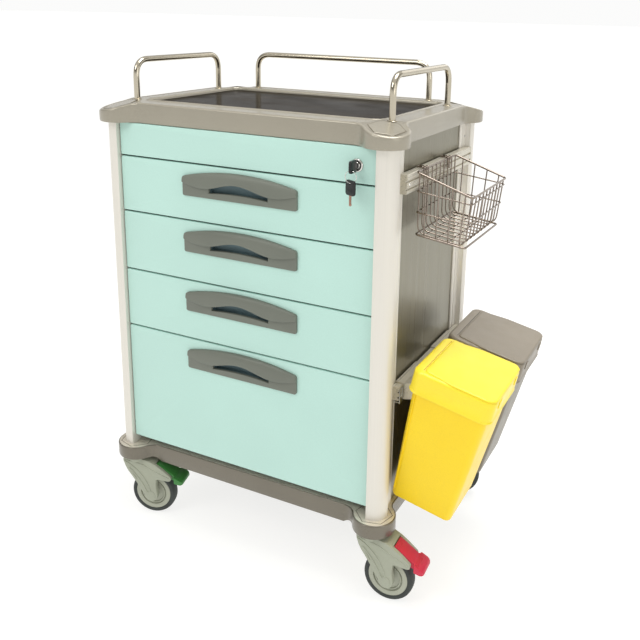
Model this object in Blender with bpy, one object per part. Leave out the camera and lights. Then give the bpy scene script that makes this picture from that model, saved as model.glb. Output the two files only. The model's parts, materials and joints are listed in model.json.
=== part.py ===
"""Medication cart: four lockable drawers between four round-nosed columns, a lobed top
tray with guard rails, a lobed base on four swivel casters, and on the right-hand side two
accessory rails that carry a wire basket and two waste bins.

Metres, +Z up. The front faces -Y and the accessories are on +X. The cart's own middle is
the cart_frame empty; the world origin is on the floor under the middle of everything.
"""

import math

import bmesh
import bpy
from mathutils import Matrix, Vector

# Where the cart's own middle stands, so that the whole cart is centred over the origin.
CART_X = -0.08717
CART_Y = 0.0042

GAP = 0.0003  # between touching pieces
PAST = 0.02  # how far a cutter runs on beyond what it cuts

# Levels
WHEEL_R = 0.050
BASE_LOW = 0.128
LOBE_LOW = 0.143
BASE_TOP = 0.1725
SEAT_SLACK = 0.0035  # how far a caster seat reaches past its lobe
TRAY_LOW = 0.878
TRAY_TOP = 0.918
LOBE_DROP = 0.015  # how far each lobe's top falls from LOBE_SLOPE_START to its tip
LOBE_SLOPE_START = 0.447  # |x| + |y| where the fall begins
LOBE_SLOPE_RUN = 0.084
GUARD_TOP = 0.995

# Plan
COLUMN_X = 0.288
COLUMN_Y = 0.198
LOBE_R = 0.042
NECK_R = 0.030
TRAY_SIDE = 0.3075
TRAY_FRONT = 0.212
BASE_FRONT = 0.2005
FRONT_Y = -0.214
FRONT_THICK = 0.020
FRONT_HALF = 0.2795
COLUMN_NOSE_R = 0.0255
COLUMN_INNER = 0.281
COLUMN_FLAT = 0.301
COLUMN_END = 0.148
COLUMN_FLAT_START = 0.1835
COLUMN_NOSE_END = 25.0  # degrees, where the nose meets the flat
SLOT_Y = 0.164
SLOT_HALF = 0.002
SLOT_DEEP = 0.003
REAR_PANEL_Y = 0.2005
PANEL_SLACK = 0.0005
PANEL_X = 0.2985
SHEET = 0.003

# Drawer seams from the top down; the last value is the bottom of the lowest drawer.
SEAMS = [0.8119, 0.6990, 0.5758, 0.4521, 0.1916]
SEAM_HALF = 0.0015
BOX_HALF = 0.2485
BOX_BACK = 0.178
BOX_WALL = 0.003
BOX_FLOOR_ABOVE = 0.012
BOX_RIM_BELOW = 0.020
RUNNER_X = 0.2645
RUNNER_LIP = 0.2535
RUNNER_RIB = 0.2620
RUNNER_FRONT = -0.165
RUNNER_BACK = 0.195
RUNNER_ABOVE = 0.030
CHANNEL_HALF = 0.005
CHANNEL_LIP = 0.002
RIB_HALF = 0.004
RIB_SHORT = 0.004  # how far the rib stops before the box's back
FRONT_EDGE = 0.0015

# Handles, measured down from the top edge of their drawer front
HANDLE_HALF = 0.1265
HANDLE_TOP = 0.0235
HANDLE_LOW = 0.0615
HANDLE_RISE = 0.016
HANDLE_PLATE = 0.005
HANDLE_HOOD = 0.015
HOOD_DIP = 0.0345
HOOD_END = 0.030
GRIP_HALF = 0.064
GRIP_TOP = 0.034
GRIP_LOW = 0.050
GRIP_POCKET_TOP = 0.022
GRIP_DEEP = 0.012
GRIP_CORNER = 0.004
HOOD_IN = 0.001  # how far the hood stands in from the plate's edge
HOOD_EDGE = 0.002  # its thickness at the two ends

# Deck and guard rails
DECK_HALF_X = 0.2575
DECK_HALF_Y = 0.1575
DECK_CORNER = 0.018
DECK_FLOOR = 0.9085
DECK_MAT = 0.004
DECK_SLACK = 0.001
GUARD_R = 0.006
GUARD_BEND = 0.028
GUARD_SIDE_X = 0.280
GUARD_SIDE_Y = (-0.158, 0.120)
GUARD_REAR_Y = 0.186
GUARD_REAR_X = 0.214

# Lock
LOCK_X = 0.2423
LOCK_Z = 0.845
LOCK_FLANGE_R = 0.012
LOCK_BODY_R = 0.0092
LOCK_FLANGE_OUT = 0.003
LOCK_TAIL = 0.004
LOCK_SLACK = 0.0004
PLUG_R = 0.0062
PLUG_OUT = 0.0008
CAM_HALF = 0.005
CAM_LOW = 0.006
CAM_HIGH = 0.020
CAM_THICK = 0.002
KEYWAY = (0.0009, 0.0042)  # half thickness, half height
KEYWAY_DEEP = 0.0217
LOCK_BAR_X = (0.2632, 0.2682)
LOCK_BAR_Y = (-0.1885, -0.1765)
LOCK_BAR_Z = (0.205, 0.840)

# Keys, in the lock's axes: y runs out of the lock when negative
BLADE_TIP = 0.0195
BOW_NEAR = -0.0016
BOW_FAR = -0.0256
BOW_HALF = 0.0110
BOW_THICK_HALF = 0.0022
BOW_CORNER = 0.0060
BLADE = (0.0006, 0.0036)  # half thickness, half height
BLADE_ROOT = 0.002
KEY_HOLE = (-0.0204, -0.0060)
KEY_HOLE_R = 0.0026
SPARE_BOW = (0.0052, -0.0188)  # top and bottom below the ring's lowest point
SPARE_TIP = -0.040
RING_R = 0.0105
RING_WIRE = 0.0007

# Accessory rails on the right-hand columns
RAIL_BACK_X = 0.3015
RAIL_X = 0.3165
RAIL_Y = (-0.169, 0.178)
UPPER_RAIL_Z = (0.793, 0.828)
LOWER_RAIL_Z = (0.401, 0.428)
RAIL_GROOVE = 0.003

# Basket: top rim higher at the rail, everything leaning out a little
BASKET_X = (0.3185, 0.4255)
BASKET_Y = (-0.1337, 0.0724)
BASKET_TOP = (0.829, 0.794)
BASKET_LOW = (0.712, 0.699)
BASKET_LOW_X = (0.3185, 0.4150)
BASKET_LOW_IN = 0.004
BASKET_WALL = 0.003
HOOK_HALF = 0.012
HOOK_THICK = 0.003
HOOK_IN = 0.001

# Bins hang from the lower rail with their feet against the side panel
BIN_TILT = math.radians(12.2)
BIN_X = 0.348
BIN_Z = 0.4815
BIN_Y = (-0.0995, 0.0825)
BIN_WIDE = 0.1605
BIN_DEEP = 0.178
BIN_TALL = 0.2817
BIN_CORNER = 0.020
BIN_TAPER = 0.016
LID_SKIRT = 0.0445
LID_WALL = 0.0025
FLAP_IN = 0.020
FLAP_CORNER = 0.012
FLAP_SLACK = 0.0006
LID_EDGE = 0.003
BIN_CLEAR = 0.0033  # from the lid's outside to the body's
BIN_RIM = 0.0031  # from the lid's top to the body's rim
BIN_WALL = 0.0025
BIN_FLOOR = 0.004
BIN_FOOT = 0.012  # height of the rounding at the body's foot
HANGER_HALF = 0.050
HANGER_THICK = 0.002
HANGER_SPAN = (0.048, 0.082)  # where it carries the bin's back, below the lid's top
HANGER_OFF = 0.0008  # from the bin's back
HANGER_DROP = 0.004

# Casters
CASTER_TRAIL = 0.036
CASTER_TURN = {"fl": 15.0, "fr": 3.0, "rl": -20.0, "rr": 12.0}
TYRE_HALF = 0.0115
FORK_IN = 0.0145
FORK_OUT = 0.0250
HUB_R = 0.0395
AXLE_R = 0.004
AXLE_SLACK = 0.0004
AXLE_EYE_R = 0.0155
EYE_TURNS = (15.0, -165.0)
FORK_TOP = (
    (-0.026, 0.134),
    (0.028, 0.134),
    (0.0335, 0.1275),
    (0.0494, 0.1245),
    (0.066, 0.115),
    (0.0835, 0.101),
    (0.0825, 0.091),
    (0.054, 0.0905),
    (0.049, 0.086),
    (0.049, 0.062),
)
FORK_NECK = ((0.0095, 0.0674), (-0.0077, 0.0945), (-0.0215, 0.115))
BOSS_R = 0.012
BOSS_HALF = 0.0130
HUB_RIM = 0.004
HUB_DISH = 0.001
HUB_HALF = 0.0105
HEAD_R = 0.030
HEAD_LOW = 0.126
WHEEL_ROOM = 0.004
TREAD_HALF = 0.0045
SHOULDER = (0.0488, 0.0085)  # radius and half width where the tread rounds off
WALL_R = 0.046
PEDAL_PIVOT = (0.052, 0.108)
PEDAL_ROOM = ((0.0475, 0.1005), (0.0475, 0.150), (0.092, 0.150), (0.092, 0.077))
PEDAL_ROOM_HALF = 0.0178
LEVER_HALF = 0.0170
LEVER_SIDE = (
    (0.0484, 0.104),
    (0.066, 0.0975),
    (0.092, 0.0885),
    (0.108, 0.084),
    (0.1104, 0.0862),
    (0.1104, 0.0885),
    (0.107, 0.0922),
    (0.092, 0.1),
    (0.084, 0.1044),
    (0.0504, 0.1262),
    (0.0484, 0.125),
)
PAD_HALF = 0.0240
PAD_SIDE = (
    (0.0905, 0.0885),
    (0.0905, 0.1008),
    (0.107, 0.0922),
    (0.1104, 0.0885),
    (0.1104, 0.0862),
    (0.108, 0.084),
    (0.092, 0.086),
)

FINE = 40
COARSE = 20


# ---------------------------------------------------------------- helpers


def clear_scene():
    for obj in list(bpy.data.objects):
        bpy.data.objects.remove(obj)


def material(name, colour, roughness, metallic=0.0):
    made = bpy.data.materials.new(name)
    made.use_nodes = True
    shader = made.node_tree.nodes["Principled BSDF"]
    shader.inputs["Base Color"].default_value = (*colour, 1.0)
    shader.inputs["Roughness"].default_value = roughness
    shader.inputs["Metallic"].default_value = metallic
    made.diffuse_color = (*colour, 1.0)
    return made


def empty(name, location, parent=None, rotation=(0.0, 0.0, 0.0)):
    made = bpy.data.objects.new(name, None)
    bpy.context.scene.collection.objects.link(made)
    made.location = location
    made.rotation_euler = rotation
    made.parent = parent
    return made


def piece(name, build, finish, parent, location=(0.0, 0.0, 0.0), smooth=None):
    """An object whose mesh build(bm) makes. The mesh is given in the parent's axes, and its
    origin goes to location."""
    bm = bmesh.new()
    build(bm)
    bmesh.ops.remove_doubles(bm, verts=bm.verts, dist=1e-6)
    bmesh.ops.recalc_face_normals(bm, faces=bm.faces)
    bmesh.ops.translate(bm, verts=bm.verts, vec=-Vector(location))
    mesh = bpy.data.meshes.new(name)
    bm.to_mesh(mesh)
    bm.free()
    if smooth is not None:
        mesh.shade_smooth()
        mesh.set_sharp_from_angle(angle=math.radians(smooth))
    mesh.materials.append(finish)
    made = bpy.data.objects.new(name, mesh)
    bpy.context.scene.collection.objects.link(made)
    made.location = location
    made.parent = parent
    return made


def combine(target, operation, label, build):
    """Adds to, or cuts from, target the shape that build(bm) makes in target's parent's axes."""
    helper = piece(f"{target.name}_{label}", build, target.data.materials[0], target.parent)
    helper.hide_render = True
    helper.display_type = "WIRE"
    step = target.modifiers.new(label, "BOOLEAN")
    step.operation = operation
    step.solver = "EXACT"
    step.object = helper


def cut(target, label, build):
    combine(target, "DIFFERENCE", label, build)


def join(target, label, build):
    combine(target, "UNION", label, build)


def add_box(bm, low, high):
    size = Vector(high) - Vector(low)
    middle = (Vector(high) + Vector(low)) / 2
    bmesh.ops.create_cube(bm, size=1.0, matrix=Matrix.Translation(middle) @ Matrix.Diagonal((*size, 1.0)))


def add_loft(bm, rings):
    """A closed solid through rings of the same number of points."""
    loops = [[bm.verts.new(point) for point in ring] for ring in rings]
    count = len(loops[0])
    for lower, upper in zip(loops, loops[1:]):
        for i in range(count):
            j = (i + 1) % count
            bm.faces.new((lower[i], lower[j], upper[j], upper[i]))
    bm.faces.new(loops[0])
    bm.faces.new(loops[-1])


def upright(a, b, c):
    return (a, b, c)


def add_prism(bm, outline, low, high, lay=upright):
    """Extrudes a plane outline from low to high; lay(a, b, c) puts it into space."""
    add_loft(bm, [[lay(a, b, level) for a, b in outline] for level in (low, high)])


def along_y(a, b, c):
    return (a, c, b)


def along_x(a, b, c):
    return (c, a, b)


def add_cylinder(bm, radius, centre, low, high, lay, segments=FINE):
    circle = [
        (centre[0] + radius * math.cos(turn), centre[1] + radius * math.sin(turn))
        for turn in (math.tau * i / segments for i in range(segments))
    ]
    add_prism(bm, circle, low, high, lay)


def add_turned(bm, profile, segments, lay):
    """Turns a closed profile of (radius, level) points; lay(a, b, level) puts it into space."""
    rings = []
    for i in range(segments):
        turn = math.tau * i / segments
        rings.append([bm.verts.new(lay(r * math.cos(turn), r * math.sin(turn), z)) for r, z in profile])
    count = len(profile)
    for i in range(segments):
        here, there = rings[i], rings[(i + 1) % segments]
        for k in range(count):
            m = (k + 1) % count
            bm.faces.new((here[k], here[m], there[m], there[k]))


def arc(centre, radius, start, end, steps):
    """Points on an arc, in degrees, both ends included."""
    return [
        (
            centre[0] + radius * math.cos(math.radians(start + (end - start) * i / steps)),
            centre[1] + radius * math.sin(math.radians(start + (end - start) * i / steps)),
        )
        for i in range(steps + 1)
    ]


def rounded_rectangle(half_x, half_y, radius, steps=4, centre=(0.0, 0.0)):
    points = []
    for sx, sy, start in ((1, 1, 0), (-1, 1, 90), (-1, -1, 180), (1, -1, 270)):
        corner = (centre[0] + sx * (half_x - radius), centre[1] + sy * (half_y - radius))
        points += arc(corner, radius, start, start + 90, steps)
    return points


def tube(name, points, radius, finish, parent):
    """A round bar with closed ends along a polyline."""
    curve = bpy.data.curves.new(name, "CURVE")
    curve.dimensions = "3D"
    curve.bevel_depth = radius
    curve.bevel_resolution = 2
    curve.use_fill_caps = True
    spline = curve.splines.new("POLY")
    spline.points.add(len(points) - 1)
    for target, point in zip(spline.points, points):
        target.co = (*point, 1.0)
    curve.materials.append(finish)
    made = bpy.data.objects.new(name, curve)
    bpy.context.scene.collection.objects.link(made)
    made.parent = parent
    return made


# ---------------------------------------------------------------- tray, base and columns


def lobe_outline(side_x, front_y):
    """The plan outline that the tray and the base share: straight sides that flow, through a
    hollow neck, into a round lobe over each column."""
    reach = LOBE_R + NECK_R
    front_neck = (COLUMN_X - math.sqrt(reach**2 - (front_y + NECK_R - COLUMN_Y) ** 2), front_y + NECK_R)
    side_neck = (side_x + NECK_R, COLUMN_Y - math.sqrt(reach**2 - (side_x + NECK_R - COLUMN_X) ** 2))
    lobe = (COLUMN_X, COLUMN_Y)
    into = math.degrees(math.atan2(lobe[1] - front_neck[1], lobe[0] - front_neck[0]))
    out = math.degrees(math.atan2(side_neck[1] - lobe[1], side_neck[0] - lobe[0]))
    quarter = arc(front_neck, NECK_R, -90.0, into, 5)
    quarter += arc(lobe, LOBE_R, 180.0 + into, out, 14)[1:-1]
    quarter += arc(side_neck, NECK_R, 180.0 + out, 180.0, 5)
    back = quarter[::-1]
    return (
        quarter
        + [(x, -y) for x, y in back]
        + [(-x, -y) for x, y in quarter]
        + [(-x, y) for x, y in back]
    )


def slope_lobe_tops(bm):
    """Planes each lobe's top down towards its tip."""
    fall = LOBE_DROP / LOBE_SLOPE_RUN
    for sx in (1, -1):
        for sy in (1, -1):
            found = bmesh.ops.bisect_plane(
                bm,
                geom=bm.verts[:] + bm.edges[:] + bm.faces[:],
                plane_co=(sx * LOBE_SLOPE_START / 2, sy * LOBE_SLOPE_START / 2, TRAY_TOP),
                plane_no=(sx * fall, sy * fall, 1.0),
                clear_outer=True,
            )
            rim = [item for item in found["geom_cut"] if isinstance(item, bmesh.types.BMEdge)]
            bmesh.ops.edgenet_fill(bm, edges=rim)


def make_tray(root, finishes):
    def body(bm):
        add_prism(bm, lobe_outline(TRAY_SIDE, TRAY_FRONT), TRAY_LOW, TRAY_TOP)
        slope_lobe_tops(bm)

    tray = piece("top_tray", body, finishes["tray"], root)
    well = rounded_rectangle(DECK_HALF_X, DECK_HALF_Y, DECK_CORNER)
    cut(tray, "deck_well", lambda bm: add_prism(bm, well, DECK_FLOOR, TRAY_TOP + PAST))
    mat = rounded_rectangle(DECK_HALF_X - DECK_SLACK, DECK_HALF_Y - DECK_SLACK, DECK_CORNER - DECK_SLACK)
    low = DECK_FLOOR + GAP
    piece("deck_mat", lambda bm: add_prism(bm, mat, low, low + DECK_MAT), finishes["deck"], root)


def make_guards(root, finishes):
    foot = TRAY_TOP + GAP

    def hoop(lay, start, end):
        points = [(start, foot)]
        points += arc((start + GUARD_BEND, GUARD_TOP - GUARD_BEND), GUARD_BEND, 180, 90, 5)
        points += arc((end - GUARD_BEND, GUARD_TOP - GUARD_BEND), GUARD_BEND, 90, 0, 5)
        points.append((end, foot))
        return [lay(*point) for point in points]

    for side, sx in (("left", -1), ("right", 1)):
        route = hoop(lambda y, z, x=sx * GUARD_SIDE_X: (x, y, z), *GUARD_SIDE_Y)
        tube(f"guard_rail_{side}", route, GUARD_R, finishes["stainless"], root)
    route = hoop(lambda x, z: (x, GUARD_REAR_Y, z), -GUARD_REAR_X, GUARD_REAR_X)
    tube("guard_rail_rear", route, GUARD_R, finishes["stainless"], root)


def make_base(root, finishes):
    outline = lobe_outline(TRAY_SIDE, BASE_FRONT)
    base = piece("base_plate", lambda bm: add_prism(bm, outline, BASE_LOW, BASE_TOP), finishes["base"], root)
    for name, sx, sy in corners():
        def seat(bm, sx=sx, sy=sy):
            centre = (sx * COLUMN_X, sy * COLUMN_Y)
            add_cylinder(bm, LOBE_R + SEAT_SLACK, centre, BASE_LOW - PAST, LOBE_LOW, upright)

        cut(base, f"caster_seat_{name}", seat)


def corners():
    return (("fl", -1, -1), ("fr", 1, -1), ("rl", -1, 1), ("rr", 1, 1))


def column_outline(sx, sy):
    """Round nose outwards, then a recessed flat with an accessory slot towards the panel."""
    nose = (COLUMN_X, -COLUMN_Y)
    start = math.degrees(math.acos((COLUMN_INNER - COLUMN_X) / COLUMN_NOSE_R))
    points = arc(nose, COLUMN_NOSE_R, -start, COLUMN_NOSE_END, 14)
    near, far = -SLOT_Y - SLOT_HALF, -SLOT_Y + SLOT_HALF
    points += [
        (COLUMN_FLAT, -COLUMN_FLAT_START),
        (COLUMN_FLAT, near),
        (COLUMN_FLAT - SLOT_DEEP, near),
        (COLUMN_FLAT - SLOT_DEEP, far),
        (COLUMN_FLAT, far),
        (COLUMN_FLAT, -COLUMN_END),
        (COLUMN_INNER, -COLUMN_END),
    ]
    return [(sx * x, -sy * y) for x, y in points]


def make_columns(root, finishes):
    for name, sx, sy in corners():
        outline = column_outline(sx, sy)
        piece(
            f"column_{name}",
            lambda bm, outline=outline: add_prism(bm, outline, BASE_TOP + GAP, TRAY_LOW - GAP),
            finishes["column"],
            root,
            smooth=35,
        )


def make_panels(root, finishes):
    low, high = BASE_TOP + GAP, TRAY_LOW - GAP
    end = COLUMN_END - PANEL_SLACK
    for side, sx in (("left", -1), ("right", 1)):
        near, far = sorted((sx * PANEL_X, sx * (PANEL_X - SHEET)))
        piece(
            f"side_panel_{side}",
            lambda bm, near=near, far=far: add_box(bm, (near, -end, low), (far, end, high)),
            finishes["panel"],
            root,
        )
    half = COLUMN_INNER - PANEL_SLACK
    piece(
        "rear_panel",
        lambda bm: add_box(bm, (-half, REAR_PANEL_Y, low), (half, REAR_PANEL_Y + SHEET, high)),
        finishes["panel"],
        root,
    )


def runner_level(drawer):
    return SEAMS[drawer + 1] + RUNNER_ABOVE


def make_runners(root, finishes):
    """One pressed wall each side, with a channel for each drawer's runner."""
    for side, sx in (("left", -1), ("right", 1)):
        points = [(RUNNER_X + SHEET, BASE_TOP + GAP), (RUNNER_X + SHEET, TRAY_LOW - GAP)]
        points.append((RUNNER_X, TRAY_LOW - GAP))
        for drawer in range(4):
            middle = runner_level(drawer)
            for edge in (CHANNEL_HALF + CHANNEL_LIP, -CHANNEL_HALF):
                points += [
                    (RUNNER_X, middle + edge),
                    (RUNNER_LIP, middle + edge),
                    (RUNNER_LIP, middle + edge - CHANNEL_LIP),
                    (RUNNER_X, middle + edge - CHANNEL_LIP),
                ]
        points.append((RUNNER_X, BASE_TOP + GAP))
        outline = [(sx * x, z) for x, z in points]
        piece(
            f"runner_wall_{side}",
            lambda bm, outline=outline: add_prism(bm, outline, RUNNER_FRONT, RUNNER_BACK, along_y),
            finishes["zinc"],
            root,
        )


# ---------------------------------------------------------------- drawers


def handle_outline(top):
    """Flat foot, straight ends and an arched top."""
    low, shoulder = top - HANDLE_LOW, top - HANDLE_TOP
    return [(HANDLE_HALF, low), *bow(shoulder, HANDLE_RISE, HANDLE_HALF), (-HANDLE_HALF, low)]


def bow(level, rise, half, steps=10):
    """A shallow arch from +half to -half that stands rise above level (below it if negative)."""
    return [
        (half * (1 - 2 * i / steps), level + rise * (1 - (1 - 2 * i / steps) ** 2))
        for i in range(steps + 1)
    ]


def make_drawer(number, root, finishes):
    top, bottom = SEAMS[number - 1] - SEAM_HALF, SEAMS[number] + SEAM_HALF
    name = f"drawer_{number}"
    back = FRONT_Y + FRONT_THICK
    front = piece(
        f"{name}_front",
        lambda bm: add_box(bm, (-FRONT_HALF, FRONT_Y, bottom), (FRONT_HALF, back, top)),
        finishes["mint"],
        root,
    )
    edge = front.modifiers.new("edge", "BEVEL")
    edge.width = FRONT_EDGE
    edge.segments = 1
    pocket = rounded_rectangle(
        GRIP_HALF + GRIP_CORNER,
        (GRIP_LOW - GRIP_POCKET_TOP) / 2,
        GRIP_CORNER,
        2,
        (0.0, top - (GRIP_LOW + GRIP_POCKET_TOP) / 2),
    )
    cut(front, "grip_pocket", lambda bm: add_prism(bm, pocket, FRONT_Y - PAST, FRONT_Y + GRIP_DEEP, along_y))

    box_low, box_high = bottom + BOX_FLOOR_ABOVE, top - BOX_RIM_BELOW
    box_front = back + GAP
    middle = runner_level(number - 1)
    box = piece(
        f"{name}_box",
        lambda bm: add_box(bm, (-BOX_HALF, box_front, box_low), (BOX_HALF, BOX_BACK, box_high)),
        finishes["zinc"],
        root,
    )
    for side, sx in (("left", -1), ("right", 1)):
        near, far = sorted((sx * (BOX_HALF - BOX_WALL / 2), sx * RUNNER_RIB))
        low = (near, RUNNER_FRONT, middle - RIB_HALF)
        high = (far, BOX_BACK - RIB_SHORT, middle + RIB_HALF)
        join(box, f"runner_{side}", lambda bm, low=low, high=high: add_box(bm, low, high))
    inside_low = (-BOX_HALF + BOX_WALL, box_front + BOX_WALL, box_low + BOX_WALL)
    inside_high = (BOX_HALF - BOX_WALL, BOX_BACK - BOX_WALL, box_high + PAST)
    cut(box, "inside", lambda bm: add_box(bm, inside_low, inside_high))

    foot = FRONT_Y - GAP
    face = foot - HANDLE_PLATE
    handle = piece(
        f"{name}_handle",
        lambda bm: add_prism(bm, handle_outline(top), face, foot, along_y),
        finishes["handle"],
        root,
        smooth=30,
    )
    half = HANDLE_HALF - HOOD_IN
    upper = bow(top - HANDLE_TOP, HANDLE_RISE - HOOD_IN, half)
    lower = bow(top - HOOD_END, -(HOOD_DIP - HOOD_END), half)[::-1]
    hood_back = face + HOOD_IN
    hood_top = [(x, hood_back, z) for x, z in upper + lower]
    bulge = HANDLE_HOOD - HANDLE_PLATE - HOOD_EDGE
    swell = [HOOD_EDGE + bulge * max(0.0, 1 - (x / HANDLE_HALF) ** 2) for x, _ in upper + lower]
    hood_face = [(x, face - out, z) for (x, z), out in zip(upper + lower, swell)]
    join(handle, "hood", lambda bm: add_loft(bm, [hood_top, hood_face]))
    grip = rounded_rectangle(
        GRIP_HALF, (GRIP_LOW - GRIP_TOP) / 2, GRIP_CORNER, 2, (0.0, top - (GRIP_LOW + GRIP_TOP) / 2)
    )
    cut(handle, "grip", lambda bm: add_prism(bm, grip, face - PAST, foot + PAST, along_y))


# ---------------------------------------------------------------- lock and keys


def make_lock(root, finishes):
    back = FRONT_Y + FRONT_THICK
    centre = (LOCK_X, LOCK_Z)
    fascia = piece(
        "lock_fascia",
        lambda bm: add_box(
            bm, (-FRONT_HALF, FRONT_Y, SEAMS[0] + SEAM_HALF), (FRONT_HALF, back, TRAY_LOW - GAP)
        ),
        finishes["mint"],
        root,
    )
    hole_r = LOCK_BODY_R + LOCK_SLACK
    through = (FRONT_Y - PAST, back + PAST)
    cut(fascia, "lock_hole", lambda bm: add_cylinder(bm, hole_r, centre, *through, along_y, COARSE))

    face = FRONT_Y - LOCK_FLANGE_OUT
    tail = back + LOCK_TAIL
    barrel = piece(
        "lock_barrel",
        lambda bm: add_cylinder(bm, LOCK_BODY_R, centre, face, tail, along_y, COARSE),
        finishes["chrome"],
        root,
        smooth=40,
    )
    flange = (face, FRONT_Y - GAP)
    join(barrel, "flange", lambda bm: add_cylinder(bm, LOCK_FLANGE_R, centre, *flange, along_y, COARSE))
    bore_r = PLUG_R + LOCK_SLACK
    cut(barrel, "bore", lambda bm: add_cylinder(bm, bore_r, centre, *through, along_y, COARSE))

    axis = (LOCK_X, face, LOCK_Z)
    turned = empty("lock_axis", axis, root)
    plug_back = tail - face + LOCK_SLACK
    plug = piece(
        "lock_plug",
        lambda bm: add_cylinder(bm, PLUG_R, (0, 0), -PLUG_OUT, plug_back, along_y, COARSE),
        finishes["chrome"],
        turned,
        smooth=40,
    )
    cam_low = (-CAM_HALF, plug_back - GAP, -CAM_LOW)
    cam_high = (CAM_HALF, plug_back + CAM_THICK, CAM_HIGH)
    join(plug, "cam", lambda bm: add_box(bm, cam_low, cam_high))
    thin, tall = KEYWAY
    keyway_low, keyway_high = (-thin, -PAST, -tall), (thin, KEYWAY_DEEP, tall)
    cut(plug, "keyway", lambda bm: add_box(bm, keyway_low, keyway_high))
    make_keys(turned, finishes)

    bar_low, bar_high = zip(LOCK_BAR_X, LOCK_BAR_Y, LOCK_BAR_Z)
    piece("lock_bar", lambda bm: add_box(bm, bar_low, bar_high), finishes["zinc"], root)


def make_keys(lock, finishes):
    """The key in the lock, a ring through its bow and a spare key on the ring."""
    thin, tall = BLADE
    bow_middle = ((BOW_NEAR + BOW_FAR) / 2, 0.0)
    bow_plan = rounded_rectangle((BOW_NEAR - BOW_FAR) / 2, BOW_HALF, BOW_CORNER, 3, bow_middle)
    key = piece(
        "lock_key",
        lambda bm: add_prism(bm, bow_plan, -BOW_THICK_HALF, BOW_THICK_HALF, along_x),
        finishes["key_black"],
        lock,
    )
    blade_low, blade_high = (-thin, BOW_NEAR - BLADE_ROOT, -tall), (thin, BLADE_TIP, tall)
    join(key, "blade", lambda bm: add_box(bm, blade_low, blade_high))
    cut(key, "hole", lambda bm: add_cylinder(bm, KEY_HOLE_R, KEY_HOLE, -PAST, PAST, along_x, 12))

    # The ring faces the front: its top runs sideways, through the hole.
    wire = [
        (RING_R + RING_WIRE * math.cos(turn), RING_WIRE * math.sin(turn))
        for turn in (math.tau * i / 6 for i in range(6))
    ]
    hung = empty("ring_axis", (0.0, *KEY_HOLE), lock)
    drop = Vector((0.0, 0.0, -RING_R))
    piece(
        "key_ring",
        lambda bm: add_turned(bm, wire, 24, lambda a, b, c: Vector((a, c, b)) + drop),
        finishes["chrome"],
        hung,
        smooth=50,
    )

    spare_axis = empty("spare_axis", 2 * drop, hung)
    top, bottom = SPARE_BOW
    spare_plan = rounded_rectangle(BOW_HALF, (top - bottom) / 2, BOW_CORNER, 3, (0.0, (top + bottom) / 2))
    spare = piece(
        "spare_key",
        lambda bm: add_prism(bm, spare_plan, -BOW_THICK_HALF, BOW_THICK_HALF, along_x),
        finishes["key_black"],
        spare_axis,
    )
    tip, root = (-thin, -tall, SPARE_TIP), (thin, tall, bottom + BLADE_ROOT)
    join(spare, "blade", lambda bm: add_box(bm, tip, root))
    cut(spare, "hole", lambda bm: add_cylinder(bm, KEY_HOLE_R, (0.0, 0.0), -PAST, PAST, along_x, 12))


# ---------------------------------------------------------------- rails, basket and bins


def rail_outline(low, high):
    """A flat bar with a shallow groove along its outer face."""
    middle = (low + high) / 2
    groove = (high - low) / 5
    return [
        (RAIL_BACK_X, low),
        (RAIL_X, low),
        (RAIL_X, middle - groove),
        (RAIL_X - RAIL_GROOVE, middle - groove),
        (RAIL_X - RAIL_GROOVE, middle + groove),
        (RAIL_X, middle + groove),
        (RAIL_X, high),
        (RAIL_BACK_X, high),
    ]


def make_rails(root, finishes):
    for name, level in (("upper", UPPER_RAIL_Z), ("lower", LOWER_RAIL_Z)):
        outline = rail_outline(*level)
        piece(
            f"accessory_rail_{name}",
            lambda bm, outline=outline: add_prism(bm, outline, *RAIL_Y, along_y),
            finishes["rail"],
            root,
        )


def basket_ring(share, inset):
    """A level of the basket: share 0 at the bottom, 1 at the rim."""
    near = BASKET_LOW_X[0] + (BASKET_X[0] - BASKET_LOW_X[0]) * share + inset
    far = BASKET_LOW_X[1] + (BASKET_X[1] - BASKET_LOW_X[1]) * share - inset
    squeeze = BASKET_LOW_IN * (1 - share) + inset
    low_y, high_y = BASKET_Y[0] + squeeze, BASKET_Y[1] - squeeze
    near_z = BASKET_LOW[0] + (BASKET_TOP[0] - BASKET_LOW[0]) * share
    far_z = BASKET_LOW[1] + (BASKET_TOP[1] - BASKET_LOW[1]) * share
    return [(near, low_y, near_z), (far, low_y, far_z), (far, high_y, far_z), (near, high_y, near_z)]


def make_basket(root, finishes):
    basket = piece(
        "wire_basket",
        lambda bm: add_loft(bm, [basket_ring(0.0, 0.0), basket_ring(1.0, 0.0)]),
        finishes["wire"],
        root,
    )
    floor = BASKET_WALL / (BASKET_TOP[0] - BASKET_LOW[0])
    cut(
        basket,
        "inside",
        lambda bm: add_loft(bm, [basket_ring(floor, BASKET_WALL), basket_ring(1.2, BASKET_WALL)]),
    )
    for hook, share in (("front", 0.2), ("rear", 0.8)):
        middle = BASKET_Y[0] + (BASKET_Y[1] - BASKET_Y[0]) * share
        under = UPPER_RAIL_Z[1] + GAP
        low = (RAIL_BACK_X + HOOK_IN, middle - HOOK_HALF, under)
        high = (BASKET_X[0] + BASKET_WALL - HOOK_IN, middle + HOOK_HALF, under + HOOK_THICK)
        join(basket, f"hook_{hook}", lambda bm, low=low, high=high: add_box(bm, low, high))


def lid_ring(depth, inset):
    """The lid's straight-sided outline at a depth below its top, in the bin's own axes."""
    outline = rounded_rectangle(
        BIN_WIDE / 2 - inset, BIN_DEEP / 2 - inset, BIN_CORNER - inset / 2, 4, (BIN_WIDE / 2, 0.0)
    )
    return [(x, y, -depth) for x, y in outline]


def bin_ring(depth, inset):
    """The bin's tapering outline at a depth below its lid's top."""
    return lid_ring(depth, inset + BIN_TAPER * depth / BIN_TALL)


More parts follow.
